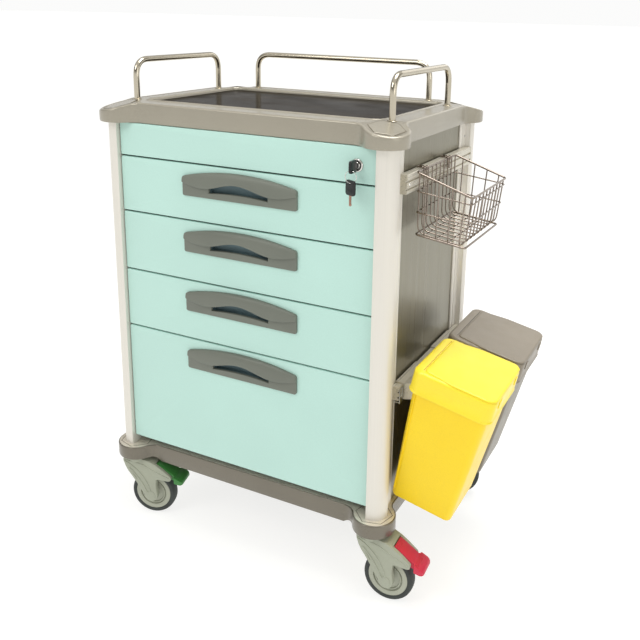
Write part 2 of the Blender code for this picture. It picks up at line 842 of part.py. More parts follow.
def make_bin(name, level_y, root, finishes):
    frame = empty(f"{name}_bin_frame", (BIN_X, level_y, BIN_Z), root, (0.0, BIN_TILT, 0.0))
    foot = [bin_ring(BIN_TALL - BIN_FOOT, BIN_FLOOR), bin_ring(BIN_TALL, BIN_FOOT)]
    body = piece(
        f"{name}_bin_body",
        lambda bm: add_loft(bm, [bin_ring(BIN_RIM, BIN_CLEAR), *foot]),
        finishes[f"{name}_body"],
        frame,
        smooth=40,
    )
    floor = BIN_TALL - BIN_FOOT - BIN_FLOOR
    inside = [bin_ring(-PAST, BIN_CLEAR + BIN_WALL), bin_ring(floor, BIN_FLOOR + BIN_WALL)]
    cut(body, "inside", lambda bm: add_loft(bm, inside))

    shell = [lid_ring(0.0, LID_EDGE), lid_ring(LID_EDGE, 0.0), lid_ring(LID_SKIRT, 0.0)]
    lid = piece(
        f"{name}_bin_lid", lambda bm: add_loft(bm, shell), finishes[f"{name}_lid"], frame, smooth=40
    )
    hollow = [lid_ring(LID_WALL, LID_WALL), lid_ring(LID_SKIRT + PAST, LID_WALL)]
    cut(lid, "inside", lambda bm: add_loft(bm, hollow))
    cut(lid, "mouth", lambda bm: add_prism(bm, flap_outline(0.0), -PAST, PAST))
    piece(
        f"{name}_bin_flap",
        lambda bm: add_prism(bm, flap_outline(FLAP_SLACK), -LID_WALL, 0.0),
        finishes[f"{name}_lid"],
        frame,
        location=(FLAP_IN + FLAP_SLACK, 0.0, 0.0),
    )
    make_hanger(name, level_y, root, finishes)


def flap_outline(inset):
    half_x = BIN_WIDE / 2 - FLAP_IN - inset
    half_y = BIN_DEEP / 2 - FLAP_IN - inset
    return rounded_rectangle(half_x, half_y, FLAP_CORNER - inset, 3, (BIN_WIDE / 2, 0.0))


def make_hanger(name, level_y, root, finishes):
    """A steel strap that hooks over the lower rail and carries the bin's back."""
    tilt = Matrix.Rotation(BIN_TILT, 4, "Y")
    shift = Vector((BIN_X, 0.0, BIN_Z))
    lean = BIN_TAPER / BIN_TALL
    high, low = (shift + tilt @ Vector((lean * d - HANGER_OFF, 0.0, -d)) for d in HANGER_SPAN)
    rail_top = LOWER_RAIL_Z[1] + GAP
    back, face = RAIL_BACK_X + GAP, RAIL_X + GAP
    profile = [
        (back, rail_top),
        (back, rail_top + HANGER_THICK),
        (face + HANGER_THICK, rail_top + HANGER_THICK),
        (high.x, high.z),
        (low.x, low.z),
        (low.x - HANGER_THICK, low.z),
        (face, LOWER_RAIL_Z[0] - HANGER_DROP),
        (face, rail_top),
    ]
    ends = (level_y - HANGER_HALF, level_y + HANGER_HALF)
    piece(f"{name}_bin_hanger", lambda bm: add_prism(bm, profile, *ends, along_y), finishes["zinc"], root)


# ---------------------------------------------------------------- casters


def fork_side_outline():
    """Side view of the housing, x towards the trailing wheel: a head under the swivel that
    sweeps down to the axle eye."""
    eye = arc((CASTER_TRAIL, WHEEL_R), AXLE_EYE_R, *EYE_TURNS, 8)
    return [*FORK_TOP, *eye, *FORK_NECK]


def make_caster(name, sx, sy, root, finishes):
    frame = empty(
        f"caster_{name}_swivel",
        (sx * COLUMN_X, sy * COLUMN_Y, 0.0),
        root,
        (0.0, 0.0, math.radians(CASTER_TURN[name])),
    )
    outline = fork_side_outline()
    fork = piece(
        f"caster_{name}_fork",
        lambda bm: add_prism(bm, outline, -FORK_OUT, FORK_OUT, along_y),
        finishes["caster"],
        frame,
        smooth=35,
    )

    def wheel_room(bm):
        add_cylinder(bm, WHEEL_R + WHEEL_ROOM, (CASTER_TRAIL, WHEEL_R), -FORK_IN, FORK_IN, along_y)

    cut(fork, "wheel_room", wheel_room)
    join(
        fork,
        "head",
        lambda bm: add_cylinder(bm, HEAD_R, (0.0, 0.0), HEAD_LOW, LOBE_LOW - GAP, upright, 32),
    )
    pin = (FORK_IN + FORK_OUT) / 2 + HUB_DISH
    join(
        fork,
        "axle",
        lambda bm: add_cylinder(bm, AXLE_R, (CASTER_TRAIL, WHEEL_R), -pin, pin, along_y, 16),
    )

    at = (CASTER_TRAIL, 0.0, WHEEL_R)
    half_hub = [
        (AXLE_R + AXLE_SLACK, BOSS_HALF),
        (BOSS_R, BOSS_HALF),
        (BOSS_R + 2 * HUB_DISH, HUB_HALF),
        (HUB_R - HUB_RIM, HUB_HALF - HUB_DISH),
        (HUB_R, HUB_HALF),
    ]
    half_tyre = [(HUB_R + GAP, HUB_HALF - HUB_DISH), (WALL_R, TYRE_HALF), SHOULDER, (WHEEL_R, TREAD_HALF)]
    for label, half in (("hub", half_hub), ("tyre", half_tyre)):
        profile = [(r, -level) for r, level in half] + half[::-1]
        made = piece(
            f"caster_{name}_{label}",
            lambda bm, profile=profile: add_turned(bm, profile, FINE, along_y),
            finishes[label],
            frame,
            smooth=30,
        )
        made.location = at

    if name in ("fl", "fr"):
        make_pedal("green" if name == "fl" else "red", fork, frame, finishes)


def make_pedal(colour, fork, frame, finishes):
    """A foot pedal that tips about a cross pin in the housing's trailing end."""
    room = (-PEDAL_ROOM_HALF, PEDAL_ROOM_HALF)
    cut(fork, "pedal_room", lambda bm: add_prism(bm, PEDAL_ROOM, *room, along_y))
    pedal = piece(
        f"pedal_{colour}",
        lambda bm: add_prism(bm, LEVER_SIDE, -LEVER_HALF, LEVER_HALF, along_y),
        finishes[f"pedal_{colour}"],
        frame,
        location=(PEDAL_PIVOT[0], 0.0, PEDAL_PIVOT[1]),
        smooth=35,
    )
    join(pedal, "pad", lambda bm: add_prism(bm, PAD_SIDE, -PAD_HALF, PAD_HALF, along_y))


# ---------------------------------------------------------------- assembly


def make_finishes():
    plastic = 0.45
    return {
        "tray": material("champagne_silver_paint", (0.60, 0.56, 0.48), 0.38, 0.35),
        "base": material("champagne_silver_base", (0.42, 0.39, 0.34), 0.40, 0.35),
        "deck": material("dark_deck", (0.045, 0.035, 0.028), 0.18),
        "stainless": material("stainless_tube", (0.62, 0.60, 0.56), 0.20, 1.0),
        "column": material("anodised_column", (0.80, 0.77, 0.71), 0.35, 0.6),
        "panel": material("satin_steel_panel", (0.42, 0.42, 0.38), 0.35, 0.8),
        "zinc": material("zinc_plated_steel", (0.55, 0.56, 0.56), 0.40, 0.9),
        "mint": material("mint_powder_coat", (0.50, 0.76, 0.68), 0.45),
        "handle": material("grey_handle", (0.20, 0.21, 0.18), 0.50),
        "chrome": material("chrome", (0.75, 0.74, 0.72), 0.12, 1.0),
        "key_black": material("black_key_head", (0.012, 0.012, 0.013), 0.35),
        "rail": material("aluminium_rail", (0.78, 0.74, 0.66), 0.32, 0.7),
        "wire": material("chrome_wire", (0.66, 0.64, 0.62), 0.18, 1.0),
        "yellow_body": material("yellow_bin", (1.0, 0.70, 0.045), plastic),
        "yellow_lid": material("yellow_lid", (1.0, 0.86, 0.08), plastic),
        "grey_body": material("grey_bin", (0.14, 0.13, 0.11), plastic),
        "grey_lid": material("grey_lid", (0.36, 0.32, 0.26), plastic),
        "caster": material("caster_housing", (0.38, 0.40, 0.34), plastic),
        "hub": material("caster_hub", (0.36, 0.38, 0.33), plastic),
        "tyre": material("caster_tyre", (0.05, 0.055, 0.05), 0.65),
        "pedal_green": material("green_pedal", (0.04, 0.22, 0.06), plastic),
        "pedal_red": material("red_pedal", (0.68, 0.03, 0.07), plastic),
    }


def main():
    clear_scene()
    finishes = make_finishes()
    root = empty("cart_frame", (CART_X, CART_Y, 0.0))
    make_tray(root, finishes)
    make_guards(root, finishes)
    make_base(root, finishes)
    make_columns(root, finishes)
    make_panels(root, finishes)
    make_runners(root, finishes)
    for number in (1, 2, 3, 4):
        make_drawer(number, root, finishes)
    make_lock(root, finishes)
    make_rails(root, finishes)
    make_basket(root, finishes)
    for name, level_y in (("yellow", BIN_Y[0]), ("grey", BIN_Y[1])):
        make_bin(name, level_y, root, finishes)
    for name, sx, sy in corners():
        make_caster(name, sx, sy, root, finishes)


main()
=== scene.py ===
"""The looks of the medication cart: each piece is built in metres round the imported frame.

The drawers face -Y and the accessories hang on the +X side. Most pieces are made in the cart's
own axes, whose middle is that of the top tray. A caster's are made in the axes of its swivel,
with x towards its wheel, and a bin's in axes that lean with it.
"""

import json
import math

import bmesh
import bpy
from mathutils import Matrix, Vector


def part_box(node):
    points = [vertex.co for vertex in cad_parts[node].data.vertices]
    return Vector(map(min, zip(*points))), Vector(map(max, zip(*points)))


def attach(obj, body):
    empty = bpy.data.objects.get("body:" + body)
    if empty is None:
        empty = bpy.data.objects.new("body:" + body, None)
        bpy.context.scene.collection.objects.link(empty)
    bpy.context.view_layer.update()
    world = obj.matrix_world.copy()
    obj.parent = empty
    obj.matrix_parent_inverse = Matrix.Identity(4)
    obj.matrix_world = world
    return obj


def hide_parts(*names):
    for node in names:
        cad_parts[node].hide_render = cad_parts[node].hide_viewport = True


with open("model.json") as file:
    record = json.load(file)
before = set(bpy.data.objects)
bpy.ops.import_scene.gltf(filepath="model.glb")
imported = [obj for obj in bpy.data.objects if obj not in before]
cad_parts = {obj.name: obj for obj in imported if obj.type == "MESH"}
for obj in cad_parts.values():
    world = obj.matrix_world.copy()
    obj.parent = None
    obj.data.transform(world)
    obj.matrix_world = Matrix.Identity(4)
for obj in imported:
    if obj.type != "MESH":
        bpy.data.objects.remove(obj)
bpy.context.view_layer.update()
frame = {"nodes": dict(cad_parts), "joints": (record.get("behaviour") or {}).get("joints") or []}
JOINTS = {joint["name"]: joint for joint in frame["joints"]}


def joint_at(name):
    return Vector(JOINTS[name]["pos_m"])


tray_low, tray_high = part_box("top_tray")
MIDDLE = Vector(((tray_low.x + tray_high.x) / 2, (tray_low.y + tray_high.y) / 2, 0.0))
HOME = Matrix.Translation(MIDDLE)


def cad(node):
    """A node's lowest and highest corners in the cart's own axes."""
    low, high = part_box(node)
    return low - MIDDLE, high - MIDDLE


# Sizes that the frame doesn't state by itself
COLUMN = joint_at("caster_fr_swivel") - MIDDLE
COLUMN_X, COLUMN_Y = COLUMN.x, -COLUMN.y
LOBE_R = tray_high.x - MIDDLE.x - COLUMN_X
NECK_R = 0.030
TRAY_SIDE = 0.3075
TRAY_FRONT = 0.212
BASE_FRONT = 0.2005
LOBE_DROP = 0.015
LOBE_SLOPE_START = 0.447
LOBE_SLOPE_RUN = 0.084
CREASE = 0.008  # over which the rim turns into a lobe's slope
TRAY_LOW, TRAY_TOP = tray_low.z, tray_high.z
BASE_LOW, BASE_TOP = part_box("base_plate")[0].z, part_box("base_plate")[1].z
LOBE_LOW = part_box("caster_fr_fork")[1].z + 0.0003
CORNERS = (("fl", -1, -1), ("fr", 1, -1), ("rl", -1, 1), ("rr", 1, 1))


# ---------------------------------------------------------------- outlines


def arc(centre, radius, start, end, steps):
    """Points on an arc, in degrees, both ends included."""
    turns = [math.radians(start + (end - start) * i / steps) for i in range(steps + 1)]
    return [(centre[0] + radius * math.cos(t), centre[1] + radius * math.sin(t)) for t in turns]


def rounded(half_x, half_y, radius, steps=6, centre=(0.0, 0.0)):
    """A rounded rectangle, counter-clockwise. Two with the same steps match point for point."""
    points = []
    for sx, sy, start in ((1, 1, 0), (-1, 1, 90), (-1, -1, 180), (1, -1, 270)):
        corner = (centre[0] + sx * (half_x - radius), centre[1] + sy * (half_y - radius))
        points += arc(corner, radius, start, start + 90, steps)
    return points


def inset(outline, amount):
    """A counter-clockwise outline moved inwards, or outwards if negative."""
    moved = []
    for i, (x, y) in enumerate(outline):
        (ax, ay), (bx, by) = outline[i - 1], outline[(i + 1) % len(outline)]
        length = math.hypot(bx - ax, by - ay)
        moved.append((x - amount * (by - ay) / length, y + amount * (bx - ax) / length))
    return moved


def lobed(side_x, front_y):
    """The plan that the tray and the base share: straight sides, and a lobe over each column."""
    reach = LOBE_R + NECK_R
    neck_x, neck_y = side_x + NECK_R, front_y + NECK_R
    front_neck = (COLUMN_X - math.sqrt(reach**2 - (neck_y - COLUMN_Y) ** 2), neck_y)
    side_neck = (neck_x, COLUMN_Y - math.sqrt(reach**2 - (neck_x - COLUMN_X) ** 2))
    lobe = (COLUMN_X, COLUMN_Y)
    into = math.degrees(math.atan2(lobe[1] - front_neck[1], lobe[0] - front_neck[0]))
    out = math.degrees(math.atan2(side_neck[1] - lobe[1], side_neck[0] - lobe[0]))
    quarter = arc(front_neck, NECK_R, -90.0, into, 14)
    quarter += arc(lobe, LOBE_R, 180.0 + into, out, 36)[1:-1]
    quarter += arc(side_neck, NECK_R, 180.0 + out, 180.0, 14)
    back = quarter[::-1]
    right = quarter + [(x, -y) for x, y in back]
    left = [(-x, -y) for x, y in quarter] + [(-x, y) for x, y in back]
    return (right + left)[::-1]


def hexagon(sx, sy, size):
    """Six points round a column, one of them towards the cart's corner."""
    diagonal = math.degrees(math.atan2(sy, sx))
    turns = [math.radians(60 * k + diagonal) for k in range(6)]
    x, y = sx * COLUMN_X, sy * COLUMN_Y
    return [(x + size * math.cos(t), y + size * math.sin(t)) for t in turns]


def onto(point, half_x, half_y, radius, outset=0.0):
    """The nearest point on a rounded rectangle that is outset by so much."""
    x = min(max(point[0], radius - half_x), half_x - radius)
    y = min(max(point[1], radius - half_y), half_y - radius)
    away = Vector((point[0] - x, point[1] - y)).normalized() * (radius + outset)
    return (x + away.x, y + away.y)


def shares(steps, first=0):
    """Evenly spaced shares up to 1, from 0 or from a later step."""
    return [k / steps for k in range(first, steps + 1)]


def smooth_step(value, low, high):
    share = min(max((value - low) / (high - low), 0.0), 1.0)
    return share * share * (3 - 2 * share)


def rounded_path(points, radius, steps=6, closed=False):
    """A polyline in space with its corners rounded."""
    points = [Vector(p) for p in points]
    last = len(points) - 1
    path = []
    for i, point in enumerate(points):
        if not closed and i in (0, last):
            path.append(point)
            continue
        before, after = points[i - 1] - point, points[(i + 1) % len(points)] - point
        reach = min(radius, before.length * 0.49, after.length * 0.49)
        start, end = point + before.normalized() * reach, point + after.normalized() * reach
        for t in shares(steps):
            path.append(start * (1 - t) ** 2 + point * 2 * t * (1 - t) + end * t * t)
    return path


# ---------------------------------------------------------------- solids


def upright(a, b, c):
    return (a, b, c)


def along_y(a, b, c):
    return (a, c, b)


def along_x(a, b, c):
    return (c, a, b)


def laid(outline, level, lay=upright):
    """An outline in space, at a level."""
    return [lay(a, b, level) for a, b in outline]


def loft(bm, rings, closed=False):
    """Quads between rings of the same number of points, with a cap at each end unless closed,
    which joins the last ring to the first."""
    loops = [[bm.verts.new(point) for point in ring] for ring in rings]
    pairs = list(zip(loops, loops[1:]))
    if closed:
        pairs.append((loops[-1], loops[0]))
    count = len(loops[0])
    for lower, upper in pairs:
        for i in range(count):
            j = (i + 1) % count
            bm.faces.new((lower[i], lower[j], upper[j], upper[i]))
    if not closed:
        bm.faces.new(loops[0])
        bm.faces.new(loops[-1])


def prism(bm, outline, low, high, lay=upright, edge=0.0):
    """An extruded outline whose two rims are rounded by edge."""
    if not edge:
        loft(bm, [laid(outline, level, lay) for level in (low, high)])
        return
    steps = [(edge, low), (edge * 0.3, low + edge * 0.3), (0.0, low + edge)]
    steps += [(0.0, high - edge), (edge * 0.3, high - edge * 0.3), (edge, high)]
    loft(bm, [laid(inset(outline, amount), level, lay) for amount, level in steps])


def box(bm, low, high, edge=0.0006):
    """A box with rounded upright edges and softened rims."""
    half = [(b - a) / 2 for a, b in zip(low, high)]
    middle = ((low[0] + high[0]) / 2, (low[1] + high[1]) / 2)
    radius = min(edge * 1.5, half[0] * 0.9, half[1] * 0.9)
    outline = rounded(half[0], half[1], radius, 3, middle)
    prism(bm, outline, low[2], high[2], edge=min(edge, half[2] * 0.9))


def turned(bm, profile, centre=(0.0, 0.0), lay=upright, segments=48):
    """Turns a closed profile of (radius, level) points about centre."""
    rings = []
    for i in range(segments):
        c, s = math.cos(math.tau * i / segments), math.sin(math.tau * i / segments)
        rings.append([lay(centre[0] + r * c, centre[1] + r * s, level) for r, level in profile])
    loft(bm, rings, closed=True)


def disc(bm, profile, centre=(0.0, 0.0), lay=upright, segments=48):
    """A round solid through rings of (radius, level), with a flat cap at each end."""
    rings = []
    for radius, level in profile:
        circle = arc(centre, radius, 0, 360 - 360 / segments, segments - 1)
        rings.append(laid(circle, level, lay))
    loft(bm, rings)


def tube(bm, path, radius, sides=12, closed=False):
    """A round bar along a path in space."""
    points = [Vector(p) for p in path]
    last = len(points) - 1
    turns = [math.tau * k / sides for k in range(sides)]
    rings = []
    side = None
    for i, point in enumerate(points):
        before = points[i - 1] if i or closed else point
        after = points[(i + 1) % len(points)] if i < last or closed else point
        along = (after - before).normalized()
        side = along.orthogonal() if side is None else side - along * side.dot(along)
        side.normalize()
        other = along.cross(side)
        rings.append([point + radius * (math.cos(t) * side + math.sin(t) * other) for t in turns])
    loft(bm, rings, closed=closed)


def mesh_of(name, build):
    bm = bmesh.new()
    build(bm)
    bmesh.ops.remove_doubles(bm, verts=bm.verts, dist=2e-6)
    bmesh.ops.recalc_face_normals(bm, faces=bm.faces)
    mesh = bpy.data.meshes.new(name)
    bm.to_mesh(mesh)
    bm.free()
    return mesh


def carved(name, build, cutters):
    """The mesh of build with the shapes of cutters taken away."""
    objects = []
    shapes = [(name, build)] + [(f"{name}_cutter_{i}", c) for i, c in enumerate(cutters)]
    for label, shape in shapes:
        made = bpy.data.objects.new(label, mesh_of(label, shape))
        bpy.context.scene.collection.objects.link(made)
        objects.append(made)
    target = objects[0]
    for cutter in objects[1:]:
        step = target.modifiers.new("cut", "BOOLEAN")
        step.operation = "DIFFERENCE"
        step.solver = "EXACT"
        step.object = cutter
    graph = bpy.context.evaluated_depsgraph_get()
    mesh = bpy.data.meshes.new_from_object(target.evaluated_get(graph))
    for made in objects:
        bpy.data.objects.remove(made)
    return mesh


def piece(name, body, finish, build, at=HOME, instead=(), smooth=35, cutters=()):
    """One visible object. build(bm) makes it in the axes of at, it rides on body, and it stands
    for the CAD nodes in instead. An edge that turns by more than smooth degrees stays sharp."""
    mesh = carved(name, build, cutters) if cutters else mesh_of(name, build)
    mesh.transform(at)
    mesh.materials.clear()
    mesh.materials.append(finish)
    mesh.shade_smooth()
    mesh.set_sharp_from_angle(angle=math.radians(smooth))
    made = bpy.data.objects.new(name, mesh)
    bpy.context.scene.collection.objects.link(made)
    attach(made, body)
    if instead:
        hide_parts(*instead)


# ---------------------------------------------------------------- finishes


def srgb(*colour):
    """A colour as the eye names it, from 0 to 255, in the renderer's linear units."""
    shares = [value / 255 for value in colour]
    return tuple(v / 12.92 if v <= 0.04045 else ((v + 0.055) / 1.055) ** 2.4 for v in shares)


def scaled(colour, by):
    return tuple(min(c * by, 1.0) for c in colour)


def grey(level):
    return (level, level, level)


def add_ramp(tree, value, stops):
    """A colour ramp through stops of (position, colour)."""
    ramp = tree.nodes.new("ShaderNodeValToRGB")
    elements = ramp.color_ramp.elements
    for element, (position, colour) in zip(elements, (stops[0], stops[-1])):
        element.position, element.color = position, (*colour, 1.0)
    for position, colour in stops[1:-1]:
        elements.new(position).color = (*colour, 1.0)
    tree.links.new(value, ramp.inputs["Fac"])
    return ramp.outputs["Color"]


def add_mix(tree, mode, share, first, second):
    """Two colours blended. Each of the three values is a socket, a colour or a number."""
    mix = tree.nodes.new("ShaderNodeMix")
    mix.data_type, mix.blend_type = "RGBA", mode
    colour_a, colour_b = 6, 7
    sockets = (mix.inputs["Factor"], mix.inputs[colour_a], mix.inputs[colour_b])
    for socket, value in zip(sockets, (share, first, second)):
        if isinstance(value, bpy.types.NodeSocket):
            tree.links.new(value, socket)
        else:
            socket.default_value = (*value, 1.0) if isinstance(value, tuple) else value
    colour_result = 2
    return mix.outputs[colour_result]


class Finish:
    """A Principled material whose nodes are added one by one."""

    def __init__(self, name, roughness, metallic=0.0, coat=0.0, ior=1.46):
        self.material = bpy.data.materials.new(name)
        self.material.use_nodes = True
        self.tree = self.material.node_tree
        self.shader = self.tree.nodes["Principled BSDF"]
        self.set("Roughness", roughness)
        self.set("Metallic", metallic)
        self.set("IOR", ior)
        self.set("Coat Weight", coat)
        self.set("Coat Roughness", 0.12)
        self.coordinates = self.node("ShaderNodeTexCoord").outputs["Object"]

    def node(self, kind):
        return self.tree.nodes.new(kind)

    def set(self, socket, value):
        self.shader.inputs[socket].default_value = value

    def link(self, start, end):
        self.tree.links.new(start, end)

    def noise(self, scale, detail, stretch=(1.0, 1.0, 1.0), turn=(0.0, 0.0, 0.0)):
        """Noise with scale features per metre, drawn out by stretch."""
        mapping = self.node("ShaderNodeMapping")
        mapping.inputs["Scale"].default_value = stretch
        mapping.inputs["Rotation"].default_value = turn
        self.link(self.coordinates, mapping.inputs["Vector"])
        texture = self.node("ShaderNodeTexNoise")
        texture.inputs["Scale"].default_value = scale
        texture.inputs["Detail"].default_value = detail
        self.link(mapping.outputs["Vector"], texture.inputs["Vector"])
        return texture.outputs["Fac"]

    def ramp(self, value, *stops):
        return add_ramp(self.tree, value, stops)

    def colour(self, socket):
        self.link(socket, self.shader.inputs["Base Color"])

    def paint(self, colour, cloudy, dark, light, fine, *greys):
        """Slow changes of tone from dark to light, under fine ones through (position, grey)."""
        tone = self.ramp(cloudy, (0.3, scaled(colour, dark)), (0.7, scaled(colour, light)))
        shade = self.ramp(fine, *[(position, grey(level)) for position, level in greys])
        self.colour(add_mix(self.tree, "MULTIPLY", 1.0, tone, shade))

    def roughen(self, value, middle, spread):
        span = self.node("ShaderNodeMapRange")
        span.inputs["From Min"].default_value = 0.3
        span.inputs["From Max"].default_value = 0.7
        span.inputs["To Min"].default_value = middle - spread
        span.inputs["To Max"].default_value = middle + spread
        self.link(value, span.inputs["Value"])
        self.link(span.outputs["Result"], self.shader.inputs["Roughness"])

    def bump(self, value, depth):
        bump = self.node("ShaderNodeBump")
        bump.inputs["Distance"].default_value = depth
        self.link(value, bump.inputs["Height"])
        self.link(bump.outputs["Normal"], self.shader.inputs["Normal"])


def moulded(name, colour, roughness=0.42, grain=900.0, coat=0.0, mottle=0.05):
    """Moulded plastic: a fine spark-eroded grain and slow changes of tone."""
    made = Finish(name, roughness, coat=coat)
    cloudy, fine = made.noise(9.0, 4.0), made.noise(grain, 2.0)
    made.paint(colour, cloudy, 1 - mottle, 1 + mottle, fine, (0.35, 0.93), (0.65, 1.0))
    made.roughen(made.noise(38.0, 3.0), roughness, 0.05)
    made.bump(fine, 0.00006)
    return made.material


def flaked(name, colour, roughness, metallic):
    """Metallic lacquer: tiny bright flakes in a champagne ground, under a clear coat."""
    made = Finish(name, roughness, metallic, coat=0.25)
    cloudy, flake = made.noise(7.0, 3.0), made.noise(2600.0, 1.0)
    made.paint(colour, cloudy, 0.95, 1.04, flake, (0.38, 0.82), (0.5, 0.97), (0.68, 1.0))
    made.roughen(flake, roughness, 0.07)
    made.bump(flake, 0.00003)
    return made.material


def brushed(name, colour, roughness, metallic, stretch, depth, tone):
    """Metal with a grain drawn out along one axis."""
    made = Finish(name, roughness, metallic)
    hair = made.noise(1.0, 6.0, stretch)
    wide = made.noise(1.0, 3.0, tuple(s * 0.07 for s in stretch[:2]) + (stretch[2] * 0.5,))
    made.paint(colour, hair, 1 - tone, 1 + tone, wide, (0.3, 1 - tone), (0.7, 1.0))
    made.roughen(hair, roughness, 0.08)
    made.bump(hair, depth)
    return made.material


def polished(name, colour, roughness):
    """Chrome or bright stainless, with faint wipe marks."""
    made = Finish(name, roughness, metallic=1.0)
    smear = made.noise(24.0, 5.0)
    made.colour(made.ramp(smear, (0.3, scaled(colour, 0.94)), (0.7, colour)))
    made.roughen(made.noise(60.0, 4.0), roughness, 0.05)
    made.bump(made.noise(1400.0, 1.0), 0.000008)
    return made.material


def powder(name, colour):
    """Powder coat with its orange peel."""
    roughness = 0.44
    made = Finish(name, roughness, coat=0.12)
    cloudy, peel = made.noise(5.0, 3.0), made.noise(420.0, 2.0)
    made.paint(colour, cloudy, 0.975, 1.02, peel, (0.35, 0.97), (0.65, 1.0))
    made.roughen(cloudy, roughness, 0.04)
    made.bump(peel, 0.00005)
    return made.material


def deck_sheet(name, colour):
    """A dark glossy sheet with a faint drifting figure and wipe marks."""
    made = Finish(name, 0.2, ior=1.05)
    made.set("Specular IOR Level", 0.12)
    figure = made.noise(7.0, 6.0, (1.0, 3.4, 1.0), (0.0, 0.0, 0.3))
    stops = [(0.35, scaled(colour, 0.62)), (0.55, colour), (0.72, scaled(colour, 1.7))]
    made.colour(made.ramp(figure, *stops))
    made.roughen(made.noise(16.0, 5.0), 0.175, 0.065)
    made.bump(made.noise(900.0, 2.0), 0.00002)
    return made.material


def rubber(name, colour):
    """Matt rubber, paler where dust lies."""
    made = Finish(name, 0.66)
    dust = made.noise(60.0, 5.0)
    made.colour(made.ramp(dust, (0.35, colour), (0.72, scaled(colour, 1.7))))
    made.roughen(dust, 0.67, 0.09)
    made.bump(made.noise(1300.0, 3.0), 0.00006)
    return made.material


CHAMPAGNE = flaked("champagne_lacquer", srgb(162, 156, 141), 0.30, 0.35)
# Lit and shaded copies of the tray's lacquer: the base is darker as painted shade, and its top face
# is paler as painted light
SHADED_BASE_LACQUER = flaked("champagne_lacquer_base_shaded", srgb(122, 116, 104), 0.30, 0.6)
LIT_BASE_LACQUER = flaked("champagne_lacquer_base_lit", srgb(226, 219, 203), 0.32, 0.3)
DECK = deck_sheet("dark_deck_sheet", srgb(32, 27, 20))
MINT = powder("mint_powder_coat", srgb(188, 224, 214))

UPRIGHT_GRAIN, FINE_UPRIGHT_GRAIN = (420.0, 420.0, 0.9), (520.0, 520.0, 4.0)
LENGTHWISE_GRAIN, NO_GRAIN = (500.0, 5.0, 500.0), (40.0, 40.0, 40.0)
COLUMN_METAL = srgb(224, 220, 211)
ANODISED = brushed("anodised_column", COLUMN_METAL, 0.36, 0.25, FINE_UPRIGHT_GRAIN, 0.000006, 0.018)
RAIL = brushed("anodised_rail", srgb(208, 203, 188), 0.32, 0.5, LENGTHWISE_GRAIN, 0.00001, 0.05)
PANEL = brushed("satin_steel_panel", srgb(136, 132, 116), 0.33, 0.7, UPRIGHT_GRAIN, 0.000003, 0.03)
ZINC = brushed("zinc_plate", srgb(186, 188, 186), 0.38, 0.9, NO_GRAIN, 0.00001, 0.12)

STAINLESS = polished("stainless_tube_polished", srgb(196, 188, 170), 0.14)
CHROME = polished("bright_chrome", srgb(226, 224, 220), 0.08)
NICKEL = polished("key_blade_nickel", srgb(172, 136, 118), 0.24)
WIRE = polished("chrome_wire", srgb(150, 138, 128), 0.13)

HANDLE = moulded("handle_grey_plastic", srgb(112, 116, 106), 0.44, 1500.0)
# painted shade: the grip pocket's liner is bluish and darker than the handle
HANDLE_POCKET_SHADE = moulded("handle_pocket_shade_plastic", srgb(104, 128, 134), 0.5, 1500.0)
BLACK = moulded("black_key_plastic", srgb(11, 11, 12), 0.36, 1200.0, coat=0.05)
YELLOW = moulded("yellow_bin_plastic", srgb(255, 218, 20), 0.42, 700.0, coat=0.1, mottle=0.03)
YELLOW_LID = moulded("yellow_lid_plastic", srgb(255, 230, 52), 0.36, 700.0, coat=0.15, mottle=0.03)
GREY = moulded("grey_bin_plastic", srgb(118, 110, 94), 0.42, 700.0, coat=0.1)
GREY_LID = moulded("grey_lid_plastic", srgb(138, 129, 114), 0.4, 700.0, coat=0.1)
# painted shade: darker copies of the bin plastics for the gap along each flap's hinge
YELLOW_SEAM_SHADE = moulded("yellow_seam_shade", srgb(190, 128, 16), 0.55)
GREY_SEAM_SHADE = moulded("grey_seam_shade", srgb(66, 58, 50), 0.55)
NYLON = moulded("caster_nylon", srgb(166, 170, 152), 0.42, 800.0)
HUB = moulded("caster_hub_nylon", srgb(172, 175, 158), 0.4, 800.0)
GREEN = moulded("green_pedal_plastic", srgb(62, 132, 62), 0.4, coat=0.1)
RED = moulded("red_pedal_plastic", srgb(206, 40, 70), 0.4, coat=0.1)
# painted shadow: a dark colour for the lines in seams, where shade falls
PAINTED_SEAM_SHADOW = moulded("seam_shadow", srgb(96, 88, 72), 0.6)
# painted shade: a near-black sheet for gaps and slots, where only shade falls
PAINTED_GAP_SHADE = moulded("painted_gap_shade", srgb(24, 26, 26), 0.7)
TYRE = rubber("caster_rubber", srgb(50, 54, 52))
TREAD = rubber("caster_worn_tread", srgb(104, 88, 72))


def carry_over():
    """CAD nodes whose shape already serves get their finish."""
    boxes = [f"drawer_{n}_box" for n in (1, 2, 3, 4)]
    finishes = {"deck_mat": DECK}
    for node in ("side_panel_left", "side_panel_right", "rear_panel"):
        finishes[node] = PANEL
    for node in ("yellow_bin_hanger", "grey_bin_hanger"):
        finishes[node] = RAIL
    for node in ("lock_bar", "runner_wall_left", "runner_wall_right", *boxes):
        finishes[node] = ZINC
    for node, finish in finishes.items():
        for place in frame["nodes"][node].material_slots:
            place.material = finish


# ---------------------------------------------------------------- tray and base


SHELF = 0.0010  # how far the surface round the mat lies below the rim


def slope_past(along):
    """How far a lobe's slope has fallen where x and y add up to so much."""
    return (along - LOBE_SLOPE_START) * LOBE_DROP / LOBE_SLOPE_RUN


def tray_height(x, y):
    """The level of the tray's rim, which falls towards the tip of each lobe."""
    past = abs(x) + abs(y) - LOBE_SLOPE_START
    eased = (past + math.hypot(past, CREASE)) / 2 - CREASE / 8
    return TRAY_TOP - max(eased, 0.0) * LOBE_DROP / LOBE_SLOPE_RUN


